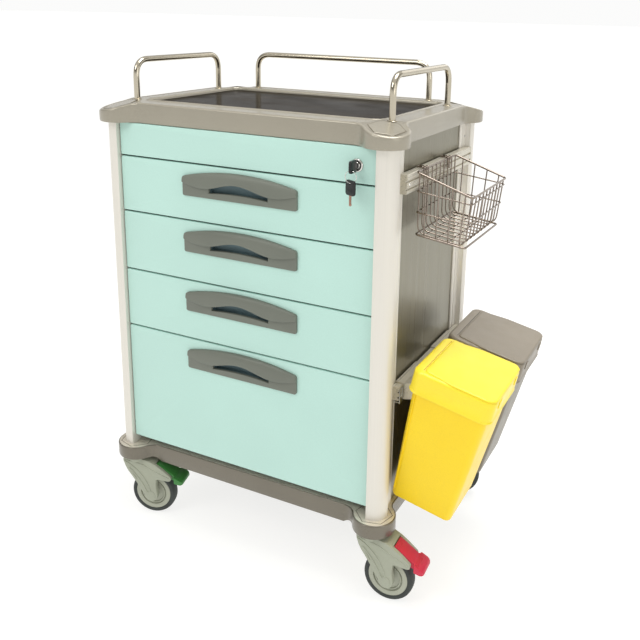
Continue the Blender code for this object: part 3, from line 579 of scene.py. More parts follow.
def rim_rings(outline, low, top, bead):
    """Rings up the outside of a moulded band and over its rounded top edge."""
    rings = []
    for amount, up in ((0.0030, 0.0), (0.0008, 0.0008), (0.0, 0.0030)):
        rings.append([(x, y, low(x, y) + up) for x, y in inset(outline, amount)])
    for k in range(6):
        turn = math.radians(90 * k / 5)
        amount, down = bead * (1 - math.cos(turn)), bead * (1 - math.sin(turn))
        rings.append([(x, y, top(x, y) - down) for x, y in inset(outline, amount)])
    return rings


def make_tray():
    outline = lobed(TRAY_SIDE, TRAY_FRONT)
    outer = inset(outline, 0.0086)
    mat_low, mat_high = cad("deck_mat")
    clear, corner = 0.001, 0.018
    half_x, half_y, floor = mat_high.x + clear, mat_high.y + clear, mat_low.z - 0.0003
    inner_steps = ((0.0062, 0.0), (0.0074, SHELF * 0.4), (0.0086, SHELF))
    lip_steps = ((0.0074, -0.0006), (0.0060, 0.0006), (0.0045, 0.0010), (0.0030, 0.0006))
    lip_steps += ((0.0016, -0.0010), (0.0008, -0.0030))

    def risen(points, up):
        return [(x, y, tray_height(x, y) + up) for x, y in points]

    def round_mat(outset):
        return [onto(point, half_x, half_y, corner, outset) for point in outer]

    def shell(bm):
        rings = rim_rings(outline, lambda x, y: TRAY_LOW, tray_height, 0.0042)
        rings += [risen(inset(outline, amount), -down) for amount, down in inner_steps]
        pairs = list(zip(outer, round_mat(0.0085)))
        for share in shares(8, 1):
            mixed = [(a[0] + (b[0] - a[0]) * share, a[1] + (b[1] - a[1]) * share) for a, b in pairs]
            rings.append(risen(mixed, -SHELF))
        rings += [risen(round_mat(outset), up) for outset, up in lip_steps]
        rings.append(laid(round_mat(0.0004), floor))
        loft(bm, rings)

    piece("tray_moulding", "cart", CHAMPAGNE, shell, HOME, ["top_tray"], 50)
    for name, sx, sy in CORNERS:
        make_lobe_cap(name, sx, sy)


def make_lobe_cap(name, sx, sy):
    """A thin six-sided cap that lies on a tray lobe, and the dark line round it, which is painted
    shadow in the seam.
    """
    rise, sunk = 0.00045, -0.002

    def ring(size, up, lift):
        level, points = TRAY_TOP - SHELF, hexagon(sx, sy, size)
        return [(x, y, level - slope_past(x * sx + y * sy) + up + lift) for x, y in points]

    def seam(bm):
        size, hole, up = 0.0335, 0.0325, 0.0002
        steps = ((size, sunk), (size, rise), (hole, rise), (hole, sunk))
        loft(bm, [ring(radius, up, lift) for radius, lift in steps], closed=True)

    def cap(bm):
        size, up = 0.0324, 0.0004
        steps = ((size, sunk), (size, rise * 0.5), (size - 0.0004, rise))
        loft(bm, [ring(radius, up, lift) for radius, lift in steps])

    piece(f"tray_lobe_seam_{name}", "cart", PAINTED_SEAM_SHADOW, seam)
    piece(f"tray_lobe_cap_{name}", "cart", CHAMPAGNE, cap, smooth=10)


def base_underside(x, y):
    """The level under the base, which rises to a caster's seat under each lobe."""
    near = math.hypot(abs(x) - COLUMN_X, abs(y) - COLUMN_Y)
    return LOBE_LOW - (LOBE_LOW - BASE_LOW) * smooth_step(near, 0.046, 0.078)


def make_base():
    outline = lobed(TRAY_SIDE, BASE_FRONT)
    wall, roof, bead = 0.003, BASE_TOP - 0.004, 0.0026

    def shell(bm):
        rings = [laid(inset(outline, wall + 0.0005), roof)]
        rings.append([(x, y, base_underside(x, y) + 0.001) for x, y in inset(outline, wall)])
        rings += rim_rings(outline, base_underside, lambda x, y: BASE_TOP, bead)
        rings.append(laid(inset(outline, 0.006), BASE_TOP))
        loft(bm, rings)

    def top(bm):
        steps = ((bead - 0.0004, -0.0010), (bead, 0.0002), (bead + 0.001, 0.0004))
        loft(bm, [laid(inset(outline, amount), BASE_TOP + up) for amount, up in steps])

    def ribs(bm):
        half, half_x, half_y, low, high = 0.0015, 0.290, 0.190, BASE_LOW + 0.012, roof + 0.001
        for x in [k * 0.09 for k in range(-2, 3)]:
            box(bm, (x - half, -half_y, low), (x + half, half_y, high))
        for y in (-0.11, 0.0, 0.11):
            box(bm, (-half_x, y - half, low), (half_x, y + half, high))

    # the base in the shaded copy of the lacquer, under a thin top face in the lit copy: painted
    # shade and painted light
    piece("base_moulding", "cart", SHADED_BASE_LACQUER, shell, HOME, ["base_plate"], 50)
    piece("base_top_lit_face", "cart", LIT_BASE_LACQUER, top, smooth=50)
    for name, sx, sy in CORNERS:
        make_base_corner(name, sx, sy, roof)
    piece("base_ribs", "cart", SHADED_BASE_LACQUER, ribs)


def make_base_corner(name, sx, sy, roof):
    """A caster's seat under the base, and the dark line round a column's foot on top of it, which is
    painted shadow in the seam.
    """

    def seat(bm):
        radius = 0.0375
        rings = [(0.036, LOBE_LOW), (radius, LOBE_LOW + 0.0015), (radius, roof)]
        disc(bm, [*rings, (0.030, roof + 0.001)], (sx * COLUMN_X, sy * COLUMN_Y))

    def seam(bm):
        size, hole, high = 0.0362, 0.0350, BASE_TOP + 0.0006
        steps = ((size, roof), (size, high), (hole, high), (hole, roof))
        rings = [laid(hexagon(sx, sy, radius), level) for radius, level in steps]
        loft(bm, rings, closed=True)

    piece(f"base_caster_seat_{name}", "cart", SHADED_BASE_LACQUER, seat)
    piece(f"base_foot_seam_{name}", "cart", PAINTED_SEAM_SHADOW, seam)


def make_guard(side):
    node = f"guard_rail_{side}"
    low, high = cad(node)
    radius, bend = min(high.x - low.x, high.y - low.y) / 2, 0.034
    across = (low + high) / 2
    if side == "rear":
        ends = [(low.x + radius, across.y), (high.x - radius, across.y)]
    else:
        ends = [(across.x, low.y + radius), (across.x, high.y - radius)]
    near, far = [(*end, tray_height(*end) - 0.003) for end in ends]
    corners = [(*end, high.z - radius) for end in ends]

    def hoop(bm):
        tube(bm, rounded_path([near, *corners, far], bend, 14), radius, 28)

    def collars(bm):
        wide, narrow = 0.0092, 0.0080
        steps = ((radius, 0.0), (wide, 0.0), (wide, 0.0009), (narrow, 0.0018), (radius, 0.0022))
        for x, y in ends:
            level = tray_height(x, y) - 0.0012
            turned(bm, [(r, level + up) for r, up in steps], (x, y), segments=32)

    piece(f"{node}_tube", "cart", STAINLESS, hoop, HOME, [node], 60)
    piece(f"{node}_collars", "cart", STAINLESS, collars)


# ---------------------------------------------------------------- columns


FLAT_X = 0.301  # the face of a column's recessed flat


def column_outline(sx, sy):
    """An extrusion's section, drawn for the front right one: nose, bead, slotted flat, groove."""
    nose_r, inner, end, lip = 0.0255, 0.281, 0.148, 0.0006
    bead_r, bead_turn = 0.0013, math.radians(27)
    bead = (COLUMN_X + (nose_r - bead_r) * math.cos(bead_turn),
            -COLUMN_Y + (nose_r - bead_r) * math.sin(bead_turn))
    slot_y, slot_half, slot_x = -0.164, 0.0018, FLAT_X - 0.0035
    slot_low, slot_high = slot_y - slot_half, slot_y + slot_half
    start = math.degrees(math.acos((inner - COLUMN_X) / nose_r))
    points = arc((COLUMN_X, -COLUMN_Y), nose_r, -start, 22.0, 40)
    points += arc(bead, bead_r + 0.0003, -20.0, 130.0, 8)
    points += [(FLAT_X + 0.003, -0.1842), (FLAT_X, -0.1835)]
    points += [(FLAT_X, slot_low - lip), (FLAT_X - lip, slot_low), (slot_x, slot_low)]
    points += [(slot_x, slot_high), (FLAT_X - lip, slot_high), (FLAT_X, slot_high + lip)]
    points += [(FLAT_X, -0.1535), (FLAT_X - 0.0012, -0.1528), (FLAT_X - 0.0012, -0.1512)]
    points += [(FLAT_X, -0.1505), (FLAT_X, -end - lip), (FLAT_X - lip, -end), (inner, -end)]
    outline = [(sx * x, -sy * y) for x, y in points]
    return outline[::-1] if sx * sy < 0 else outline


def make_column(name, sx, sy):
    node = f"column_{name}"
    low, high = cad(node)

    def body(bm):
        prism(bm, column_outline(sx, sy), low.z, high.z)

    def screws(bm):
        y, from_end = sy * 0.1785, 0.028
        steps = ((0.0026, -0.001), (0.0026, 0.0003), (0.0018, 0.0008))
        steps += ((0.0009, 0.0008), (0.0008, 0.0001))
        profile = [(radius, sx * FLAT_X + sx * out) for radius, out in steps]
        for level in (high.z - from_end, low.z + from_end):
            disc(bm, profile, (y, level), along_x, 20)

    piece(f"{node}_extrusion", "cart", ANODISED, body, HOME, [node], 28)
    piece(f"{node}_screws", "cart", ZINC, screws)


# ---------------------------------------------------------------- drawers


def front_plate(bm, low, high, hole, deep=None):
    """A folded front with soft edges. The outline hole is a pocket so deep, or goes through."""
    centre = ((low.x + high.x) / 2, (low.z + high.z) / 2)
    half_x, half_z = (high.x - low.x) / 2, (high.z - low.z) / 2
    edge, corner = 0.0022, 0.0026

    def ring(amount, y):
        outline = rounded(half_x - amount, half_z - amount, corner - amount * 0.5, 6, centre)
        return laid(outline, y, along_y)

    rings = [ring(0.0006, high.y), ring(0.0, high.y - 0.0006), ring(0.0, low.y + edge)]
    for turn in (22.5, 45.0, 67.5, 90.0):
        c, s = math.cos(math.radians(turn)), math.sin(math.radians(turn))
        rings.append(ring(edge * (1 - c) * 0.7, low.y + edge * (1 - s)))
    bottom = high.y if deep is None else low.y + deep
    rings += [laid(hole, y, along_y) for y in (low.y, bottom)]
    loft(bm, rings, closed=deep is None)


def make_drawer(number):
    name = f"drawer_{number}"
    low, high = cad(f"{name}_front")
    box_low, box_high = cad(f"{name}_box")
    grip_half, pocket_top, pocket_low, deep, corner = 0.0675, 0.022, 0.0525, 0.012, 0.004
    tall = (pocket_low - pocket_top) / 2
    centre = (0.0, high.z - (pocket_low + pocket_top) / 2)
    pocket = rounded(grip_half, tall, corner, 6, centre)

    def plate(bm):
        front_plate(bm, low, high, pocket, deep)

    # the pocket's liner, whose bluish dark colour is painted shade in the pocket
    def liner(bm):
        outside = rounded(grip_half - 0.0002, tall - 0.0002, corner, 6, centre)
        inside = inset(outside, 0.0012)
        front, back = low.y + 0.0003, low.y + deep - 0.0002
        steps = ((inside, back - 0.0012), (inside, front), (outside, front), (outside, back))
        loft(bm, [laid(outline, y, along_y) for outline, y in steps])

    def trim(bm):
        """A block behind each end of the front, and the rolled edges of the box."""
        front, half, top = box_low.y + 0.0032, 0.008, box_high.z - 0.004
        for x in (0.020 - box_high.x, box_high.x - 0.020):
            box(bm, (x - half, front, box_high.z - 0.020), (x + half, box_low.y + 0.0060, top))
        radius, over, short = 0.0018, box_high.z + 0.0010, 0.016
        for y in (box_low.y + 0.0015, box_high.y - 0.0015):
            tube(bm, [(box_low.x + short, y, over), (box_high.x - short, y, over)], radius, 10)

    piece(f"{name}_front_panel", name, MINT, plate, HOME, [f"{name}_front"], 50)
    make_handle(name, high.z, low.y)
    piece(f"{name}_grip_liner", name, HANDLE_POCKET_SHADE, liner)
    piece(f"{name}_box_trim", name, ZINC, trim)


def make_divider_shade_strip(upper, lower):
    """A dark cross strip that closes the seam between two fronts from behind, as painted shade in
    the gap.
    """
    low, high = cad(upper)
    under, gap = cad(lower)[1].z, 0.0003

    def strip(bm):
        start, end = (low.x, low.y + 0.0060, under + gap), (high.x, high.y - 0.0020, low.z - gap)
        box(bm, start, end, 0.0002)

    piece(f"divider_strip_over_{lower}", "cart", PAINTED_GAP_SHADE, strip)


def make_handle(name, top, face_y):
    """A handle from the top and the face of its front: a plate, and a hood over its opening."""
    half, shoulder, foot, rise, thick = 0.1265, 0.0235, 0.0615, 0.0158, 0.0045
    opening, corner = 0.0660, 0.004
    back = face_y - 0.0003
    face = back - thick

    def stations(reach, count):
        """Places from -reach to reach that lie closer near the ends."""
        return [reach * math.sin(math.radians(-90 + 180 * i / count)) for i in range(count + 1)]

    def cut(x):
        """How far a rounded corner cuts the plate's ends."""
        past = abs(x) - (half - corner)
        return corner - math.sqrt(max(corner**2 - past**2, 0.0)) if past > 0 else 0.0

    def upper(x):
        return top - shoulder + rise * (1 - (x / half) ** 2) - cut(x)

    def lower(x):
        return top - foot + cut(x)

    def hood_line(x):
        """The hood's lower edge: an arch over the opening, a dip, and up again to the end."""
        u = abs(x) / half
        high, dip, end, turn = 0.0285, 0.0425, 0.0350, 0.62
        if u < turn:
            return top - (high + (dip - high) * (1 - math.cos(math.pi * u / turn)) / 2)
        return top - (dip + (end - dip) * ((u - turn) / (1 - turn)) ** 1.8)

    def grip_low(x):
        return top - 0.0520 + 0.0036 * (1 - (x / opening) ** 2)

    def moved(line, up):
        return lambda x: line(x) + up

    def loop(high_line, low_line, reach, y):
        """Round the plate: along the bottom, up, back along the top and down."""
        xs, heights = stations(reach, 44), shares(6, 1)[:-1]

        def end(x, heights):
            a, b = low_line(x), high_line(x)
            return [(x, y, a + (b - a) * share) for share in heights]

        there = [(x, y, low_line(x)) for x in xs] + end(reach, heights)
        return there + [(x, y, high_line(x)) for x in xs[::-1]] + end(-reach, heights[::-1])

    def plate(bm):
        rim, bevel = 0.0010, 0.0010 * 0.35
        arch, high_arch = moved(hood_line, 0.003), moved(hood_line, 0.004)
        loft(bm, [
            loop(upper, lower, half, back),
            loop(upper, lower, half, face + rim),
            loop(moved(upper, -bevel), moved(lower, bevel), half - bevel, face + rim * 0.3),
            loop(moved(upper, -rim), moved(lower, rim), half - rim, face),
            loop(high_arch, grip_low, opening, face),
            loop(high_arch, moved(grip_low, 0.0008), opening - 0.0008, face + 0.0009),
            loop(arch, moved(grip_low, 0.0010), opening - 0.0010, back),
        ], closed=True)

    def hood(bm):
        root = face + 0.0012
        # depth and height as shares of the hood's own, and metres to add to the height
        profile = [(0.80, 0.0, 0.0), (0.93, 0.0, 0.0005), (1.0, 0.0, 0.0018), (0.99, 0.22, 0.0)]
        profile += [(0.93, 0.42, 0.0), (0.82, 0.60, 0.0), (0.66, 0.76, 0.0), (0.46, 0.88, 0.0)]
        profile += [(0.26, 0.955, 0.0), (0.08, 1.0, -0.0003)]
        rings = []
        for x in stations(half - 0.0002, 48):
            out = 0.0022 + 0.0062 * max(0.0, 1 - (x / half) ** 2) ** 0.7
            low = hood_line(x)
            tall = upper(x) + 0.0004 - low
            ring = [(x, root, low + 0.0008)]
            for depth, share, up in profile:
                ring.append((x, face - out * depth, low + tall * share + up))
            rings.append([*ring, (x, root, low + tall - 0.0010)])
        loft(bm, rings)

    piece(f"{name}_handle_plate", name, HANDLE, plate, HOME, [f"{name}_handle"], 40)
    piece(f"{name}_handle_hood", name, HANDLE, hood, smooth=50)


# ---------------------------------------------------------------- lock and keys


def make_lock():
    low, high = cad("lock_fascia")
    barrel_low, barrel_high = cad("lock_barrel")
    plug_low, plug_high = cad("lock_plug")
    x, z = (barrel_low.x + barrel_high.x) / 2, (barrel_low.z + barrel_high.z) / 2
    sleeve, bore, flange = 0.0092, 0.0066, (barrel_high.x - barrel_low.x) / 2
    face, seat = barrel_low.y, low.y - 0.0003
    cam_y = plug_high.y - 0.0023
    hole = rounded(0.0097, 0.0097, 0.0097, 6, (x, z))

    def panel(bm):
        front_plate(bm, low, high, hole)

    def barrel(bm):
        profile = [(bore, face + 0.0003), (bore + 0.0008, face - 0.0004)]
        profile += [(flange - 0.0022, face - 0.0004), (flange - 0.0012, face + 0.0002)]
        profile += [(flange - 0.0003, face + 0.0014)]
        profile += [(flange, face + 0.0022), (flange, seat), (sleeve, seat)]
        profile += [(sleeve, barrel_high.y), (bore, barrel_high.y)]
        turned(bm, profile, (x, z), along_y, 56)

    def plug(bm):
        radius = 0.0062
        rings = [(0.0045, plug_low.y - 0.0002), (0.0057, plug_low.y), (radius, plug_low.y + 0.0006)]
        disc(bm, [*rings, (radius, cam_y)], (x, z), along_y, 40)
        cam = rounded(0.005, 0.013, 0.004, 5, (x, z + 0.007))
        prism(bm, cam, cam_y - 0.0003, plug_high.y, along_y, 0.0004)

    def keyway(bm):
        half_x, half_z = 0.0009, 0.0042
        start = (x - half_x, plug_low.y - 0.02, z - half_z)
        box(bm, start, (x + half_x, plug_low.y + 0.0225, z + half_z), 0.0001)

    piece("lock_fascia_panel", "cart", MINT, panel, HOME, ["lock_fascia"], 50)
    piece("lock_barrel_chrome", "cart", CHROME, barrel, HOME, ["lock_barrel"], 30)
    piece("lock_plug_chrome", "lock_core", CHROME, plug, HOME, ["lock_plug"],
          cutters=[keyway])


def key_head(bm, node, up):
    """A moulded key head: a soft-edged block with three ridges on each side. up puts its ring
    end at the top instead of the front."""
    low, high = cad(node)
    middle_x, thick, reach, pitch = (low.x + high.x) / 2, 0.0024, 0.0042, 0.0021
    if up:
        tall = 0.0132
        half = ((high.y - low.y) / 2 + 0.0012, tall)
        centre = ((low.y + high.y) / 2, high.z - tall)
    else:
        long = 0.0120
        half = (long, (high.z - low.z) / 2)
        centre = (low.y + long, (low.z + high.z) / 2)
    prism(bm, rounded(*half, 0.0052, 6, centre), middle_x - thick, middle_x + thick, along_x, 0.0009)
    for side in (-1, 1):
        near, far = sorted((middle_x + side * (thick - 0.0004), middle_x + side * (thick + 0.0005)))
        for k in (-1, 0, 1):
            if up:
                spot = (centre[0], centre[1] - reach + k * pitch)
                ridge = rounded(half[0] * 0.62, 0.0006, 0.0005, 3, spot)
            else:
                spot = (centre[0] + reach + k * pitch, centre[1])
                ridge = rounded(0.0006, half[1] * 0.62, 0.0005, 3, spot)
            prism(bm, ridge, near, far, along_x, 0.0003)


def key_blade(bm, middle_x, start, end, across, upright_blade):
    """A serrated blade from its root to its tip; across is its middle line's other place."""
    thin, tall = 0.0007, 0.0030 if upright_blade else 0.0036
    teeth, groove, length = 5, 0.0003, end - start
    edge = [(0.0, -tall)]
    for k in range(teeth):
        at = 0.22 + 0.62 * k / teeth
        edge += [(at, -tall), (at + 0.045, -tall + 0.0016 + 0.0005 * (k % 2))]
        edge += [(at + 0.085, -tall + 0.0002)]
    edge += [(0.93, -tall), (1.0, -0.0006), (1.0, 0.0010), (0.94, tall), (0.0, tall)]
    line = sorted((start + length * 0.12, start + length * 0.86))
    low, high = ((place, across + up) for place, up in zip(line, (0.0006, 0.0016)))
    outline = [(start + length * a, across + b) for a, b in edge]
    if upright_blade:
        outline = [point[::-1] for point in outline]
        low, high = low[::-1], high[::-1]
    prism(bm, outline, middle_x - thin, middle_x + thin, along_x)
    box(bm, (middle_x - thin - groove, *low), (middle_x + thin + groove, *high), 0.0001)


def ring_hole(joint):
    """A cutter for the hole in a key's head, round a joint's axis."""
    at = joint_at(joint) - MIDDLE
    radius, half = 0.0026, 0.01

    def cutter(bm):
        disc(bm, [(radius, at.x - half), (radius, at.x + half)], (at.y, at.z), along_x, 20)

    return cutter


def make_keys():
    low, high = cad("lock_key")
    spare_low, spare_high = cad("spare_key")
    ring_low, ring_high = cad("key_ring")
    middle_x, middle_z = (low.x + high.x) / 2, (low.z + high.z) / 2
    spot = Vector(((spare_low.x + spare_high.x) / 2, (spare_low.y + spare_high.y) / 2, 0.0))
    to_front = Matrix.Translation(spot) @ Matrix.Rotation(math.radians(62), 4, "Z")
    turned_out = HOME @ to_front @ Matrix.Translation(-spot)
    head = 0.0235

    def coil(bm):
        wire, turns, pitch = 0.0006, 1.9, 0.0013
        radius, middle = (ring_high.x - ring_low.x) / 2 - 0.0007, (ring_low + ring_high) / 2
        path = []
        for share in shares(76):
            angle = math.radians(100) + math.tau * turns * share
            x, z = middle.x + radius * math.cos(angle), middle.z + radius * math.sin(angle)
            path.append((x, middle.y + (share - 0.5) * pitch, z))
        tube(bm, path, wire, 8)

    def lock_head(bm):
        key_head(bm, "lock_key", False)

    def lock_blade(bm):
        key_blade(bm, middle_x, low.y + head, high.y, middle_z, False)

    def spare_head(bm):
        key_head(bm, "spare_key", True)

    def spare_blade(bm):
        key_blade(bm, spot.x, spare_high.z - head, spare_low.z, spot.y, True)

    piece("lock_key_head", "key", BLACK, lock_head, HOME, ["lock_key"],
          cutters=[ring_hole("ring_swing")])
    piece("lock_key_blade", "key", NICKEL, lock_blade)
    piece("key_ring_wire", "ring", CHROME, coil, HOME, ["key_ring"], 60)
    piece("spare_key_head", "spare", BLACK, spare_head, turned_out, ["spare_key"],
          cutters=[ring_hole("spare_key_swing")])
    piece("spare_key_blade", "spare", NICKEL, spare_blade, turned_out)


# ---------------------------------------------------------------- rails and basket


SCREW_LINE = 0.47  # where the rails' screws lie, as a share of their height


def rail_outline(low, high):
    """A rail's section: two grooves in its face, and a small bead along its upper edge."""
    face, tall, lip, bead = high.x, high.z - low.z, 0.0009, high.x - 0.0006
    wide, groove = tall * 0.060, face - 0.0030
    outline = [(low.x, low.z + lip), (low.x + lip, low.z), (face - lip, low.z), (face, low.z + lip)]
    for share in (0.24, 0.64):
        level = low.z + tall * share
        outline += [(face, level - wide), (groove, level - wide * 0.7)]
        outline += [(groove, level + wide * 0.7), (face, level + wide)]
    outline += [(face, high.z - 0.0035), (bead, high.z - 0.0028), (bead, high.z - 0.0020)]
    outline += [(face + 0.0002, high.z - 0.0014), (face - lip, high.z)]
    return outline + [(low.x + lip, high.z), (low.x, high.z - lip)]


def make_rail(name):
    node = f"accessory_rail_{name}"
    low, high = cad(node)
    start, tall, face = low.y + 0.0015, high.z - low.z, high.x

    def bar(bm):
        prism(bm, rail_outline(low, high), start, high.y - 0.001, along_y)

    def end_cap(bm):
        centre, over = ((low.x + face) / 2, (low.z + high.z) / 2), 0.0004
        shape = rounded((face - low.x) / 2 + over, tall / 2 + over, 0.002, 4, centre)
        prism(bm, shape, high.y - 0.0014, high.y + 0.0008, along_y, 0.0004)

    def screws(bm):
        steps = ((0.0030, -0.0010), (0.0030, 0.0006), (0.0022, 0.0014))
        steps += ((0.0012, 0.0014), (0.0010, 0.0006))
        for y in (start + 0.010, high.y - 0.010):
            profile = [(radius, face + out) for radius, out in steps]
            disc(bm, profile, (y, low.z + tall * SCREW_LINE), along_x, 24)

    piece(f"{node}_extrusion", "cart", RAIL, bar, HOME, [node], 30)
    piece(f"{node}_end_caps", "cart", RAIL, end_cap)
    piece(f"{node}_screws", "cart", CHROME, screws)


def make_lower_rail_details():
    """The row of slots near the lower rail's front end, as dark blocks of painted shade, and the
    clip at that end.
    """
    low, high = cad("accessory_rail_lower")
    face, level = high.x, low.z + (high.z - low.z) * SCREW_LINE

    # each slot is a dark block of painted shade in place of a hole
    def slots(bm):
        count, pitch, half_y, half_z = 13, 0.0062, 0.0017, 0.0030
        for y in [low.y + 0.0225 + k * pitch for k in range(count)]:
            slot = rounded(half_y, half_z, 0.0008, 3, (y, level))
            prism(bm, slot, face - 0.002, face + 0.00025, along_x)

    def clip(bm):
        y, foot = low.y + 0.0090, low.z - 0.006
        box(bm, (face + 0.0002, y - 0.007, foot), (face + 0.0022, y + 0.009, high.z - 0.004))
        box(bm, (face - 0.010, y - 0.005, foot), (face + 0.0010, y + 0.007, low.z - 0.0035))
        rivet = [(0.0022, face + 0.0020), (0.0022, face + 0.0034), (0.0014, face + 0.0040)]
        for step in (-0.001, 0.006):
            disc(bm, rivet, (y + step, level - 0.004), along_x, 20)

    piece("lower_rail_slot_shade", "cart", PAINTED_GAP_SHADE, slots)
    piece("lower_rail_clip", "cart", ZINC, clip)


def make_basket():
    """A wire basket whose outer side is lower and leans out, and whose floor falls outwards."""
    low, high = cad("wire_basket")
    rail_low, rail_high = cad("accessory_rail_upper")
    thick, thin = 0.0019, 0.0013
    near, far = rail_high.x + 0.0035, high.x - 0.0015
    foot_far = far - 0.0105
    front, back = low.y + 0.0015, high.y - 0.0015
    rim, rim_far, floor, floor_far = 0.8275, 0.7925, 0.7135, low.z + 0.0015

    def hoop_corners(share, share_far):
        """The shares say how far down a hoop is at the rail and at the outer side."""
        outer, squeeze = far + (foot_far - far) * share_far, 0.004 * share_far
        z, z_far = rim + (floor - rim) * share, rim_far + (floor_far - rim_far) * share_far
        return [(near, front + squeeze, z), (outer, front + squeeze, z_far),
                (outer, back - squeeze, z_far), (near, back - squeeze, z)]

    def hoops(bm):
        levels = ((0.0, 0.0, thick), (0.30, 0.13, thin), (0.64, 0.52, thin), (1.0, 1.0, thick))
        for share, share_far, radius in levels:
            path = rounded_path(hoop_corners(share, share_far), 0.007, closed=True)
            tube(bm, path, radius, 12, closed=True)

    def cross_wires(bm):
        count, end, inside = 10, 0.008, 0.0022
        for k in range(count):
            y = front + end + (back - front - end * 2) * k / (count - 1)
            route = [(near + inside, y, rim), (near + inside, y, floor + inside)]
            route += [(foot_far - inside, y, floor_far + inside), (far - inside, y, rim_far)]
            tube(bm, rounded_path(route, 0.016, 7), thin, 10)

    def long_wires(bm):
        inside, foot_in = 0.0022, 0.0062
        for share in (0.16, 0.40, 0.64, 0.87):
            x, z = near + (foot_far - near) * share, floor + (floor_far - floor) * share
            rim_x, rim_z = near + (far - near) * share, rim + (rim_far - rim) * share
            route = [(rim_x, front + inside, rim_z), (x, front + foot_in, z)]
            route += [(x, back - foot_in, z), (rim_x, back - inside, rim_z)]
            tube(bm, rounded_path(route, 0.012, 7), thin, 10)

    def hooks(bm):
        """Two pairs of wires over the rail, each joined behind it, and coils round the rim."""
        bar, over, behind, half = 0.0015, rail_high.z + 0.0013 + 0.001, rail_low.x + 0.0045, 0.005
        coil_r, coil_wire, coil_half, turns = 0.0034, 0.0010, 0.009, 2.5
        for middle in [front + (back - front) * share for share in (0.20, 0.80)]:
            for y in (middle - half, middle + half):
                route = [(near, y, rim - 0.020), (near, y, over), (behind, y, over)]
                tube(bm, rounded_path(route, 0.006, 8), bar, 12)
            bend = [(behind, middle - half, over), (rail_low.x + 0.0030, middle, over)]
            tube(bm, rounded_path([*bend, (behind, middle + half, over)], 0.003), bar, 12)
            coil = []
            for share in shares(60):
                turn, y = math.tau * turns * share, middle + coil_half * (2 * share - 1)
                coil.append((near + coil_r * math.cos(turn), y, rim + coil_r * math.sin(turn)))
            tube(bm, coil, coil_wire, 8)

    piece("basket_hoops", "basket", WIRE, hoops, HOME, ["wire_basket"], 60)
    piece("basket_cross_wires", "basket", WIRE, cross_wires, smooth=60)
    piece("basket_long_wires", "basket", WIRE, long_wires, smooth=60)
    piece("basket_hooks", "basket", WIRE, hooks, smooth=60)


# ---------------------------------------------------------------- bins


# In a bin's own axes x runs outwards from its back edge and z up its back, with the lid's top at 0
BIN_WIDE, BIN_DEEP, BIN_TALL = 0.1605, 0.178, 0.2817
BIN_TAPER, BIN_CORNER, BIN_CLEAR, BIN_WALL = 0.016, 0.020, 0.0036, 0.0024
LID_SKIRT, LID_MOUTH = 0.0445, 0.0215
HINGE_X = 0.0206


def bin_ring(depth, inwards, corner=BIN_CORNER):
    """The lid's outline at a depth below its top, moved inwards."""
    corner = max(corner - inwards * 0.5, 0.002)
    half_x, half_y = BIN_WIDE / 2 - inwards, BIN_DEEP / 2 - inwards
    outline = rounded(half_x, half_y, corner, 10, (BIN_WIDE / 2, 0.0))
    return laid(outline, -depth)


def tub_ring(depth, amount):
    """The tub's outline, which narrows towards its foot."""
    return bin_ring(depth, amount + BIN_TAPER * depth / BIN_TALL)


def bin_tub(bm):
    clear, inner, round_r = BIN_CLEAR, BIN_CLEAR + BIN_WALL, 0.0090
    middle, floor = BIN_TALL * 0.5, BIN_TALL - 0.004
    steps = [(floor, 0.016), (floor - 0.010, 0.0044 + BIN_WALL), (middle, inner), (0.0040, inner)]
    steps += [(0.0040, clear), (LID_SKIRT - 0.004, clear), (LID_SKIRT + 0.004, clear)]
    steps += [(LID_SKIRT + 0.0046, clear + 0.0006), (middle, clear), (BIN_TALL - round_r, clear)]
    for turn in (20, 40, 60, 80, 90):
        s, c = math.sin(math.radians(turn)), math.cos(math.radians(turn))
        steps.append((BIN_TALL - round_r * (1 - s), clear + round_r * (1 - c)))
    loft(bm, [tub_ring(depth, amount) for depth, amount in steps])


def bin_ribs(bm):
    """A rib down each side near the back, and two down the back."""
    start, wide = LID_SKIRT + 0.002, 0.0016
    for sy in (-1, 1):
        rings = []
        for depth in (start, BIN_TALL * 0.5, BIN_TALL - 0.020):
            inwards = BIN_CLEAR + BIN_TAPER * depth / BIN_TALL
            y, x, crest = sy * (BIN_DEEP / 2 - inwards), 0.0135 + inwards * 0.5, wide * 0.4
            foot_y, crest_y = y - sy * 0.001, y + sy * 0.0009
            rings.append([(x - wide, foot_y, -depth), (x - crest, crest_y, -depth),
                          (x + crest, crest_y, -depth), (x + wide, foot_y, -depth)])
        loft(bm, rings)
    for y in (-0.045, 0.045):
        rings = []
        for depth in (start, BIN_TALL - 0.030):
            x = BIN_CLEAR + BIN_TAPER * depth / BIN_TALL
            foot_x, crest_x = x + 0.001, x - 0.0008
            rings.append([(foot_x, y - 0.003, -depth), (crest_x, y - 0.0018, -depth),
                          (crest_x, y + 0.0018, -depth), (foot_x, y + 0.003, -depth)])
        loft(bm, rings)


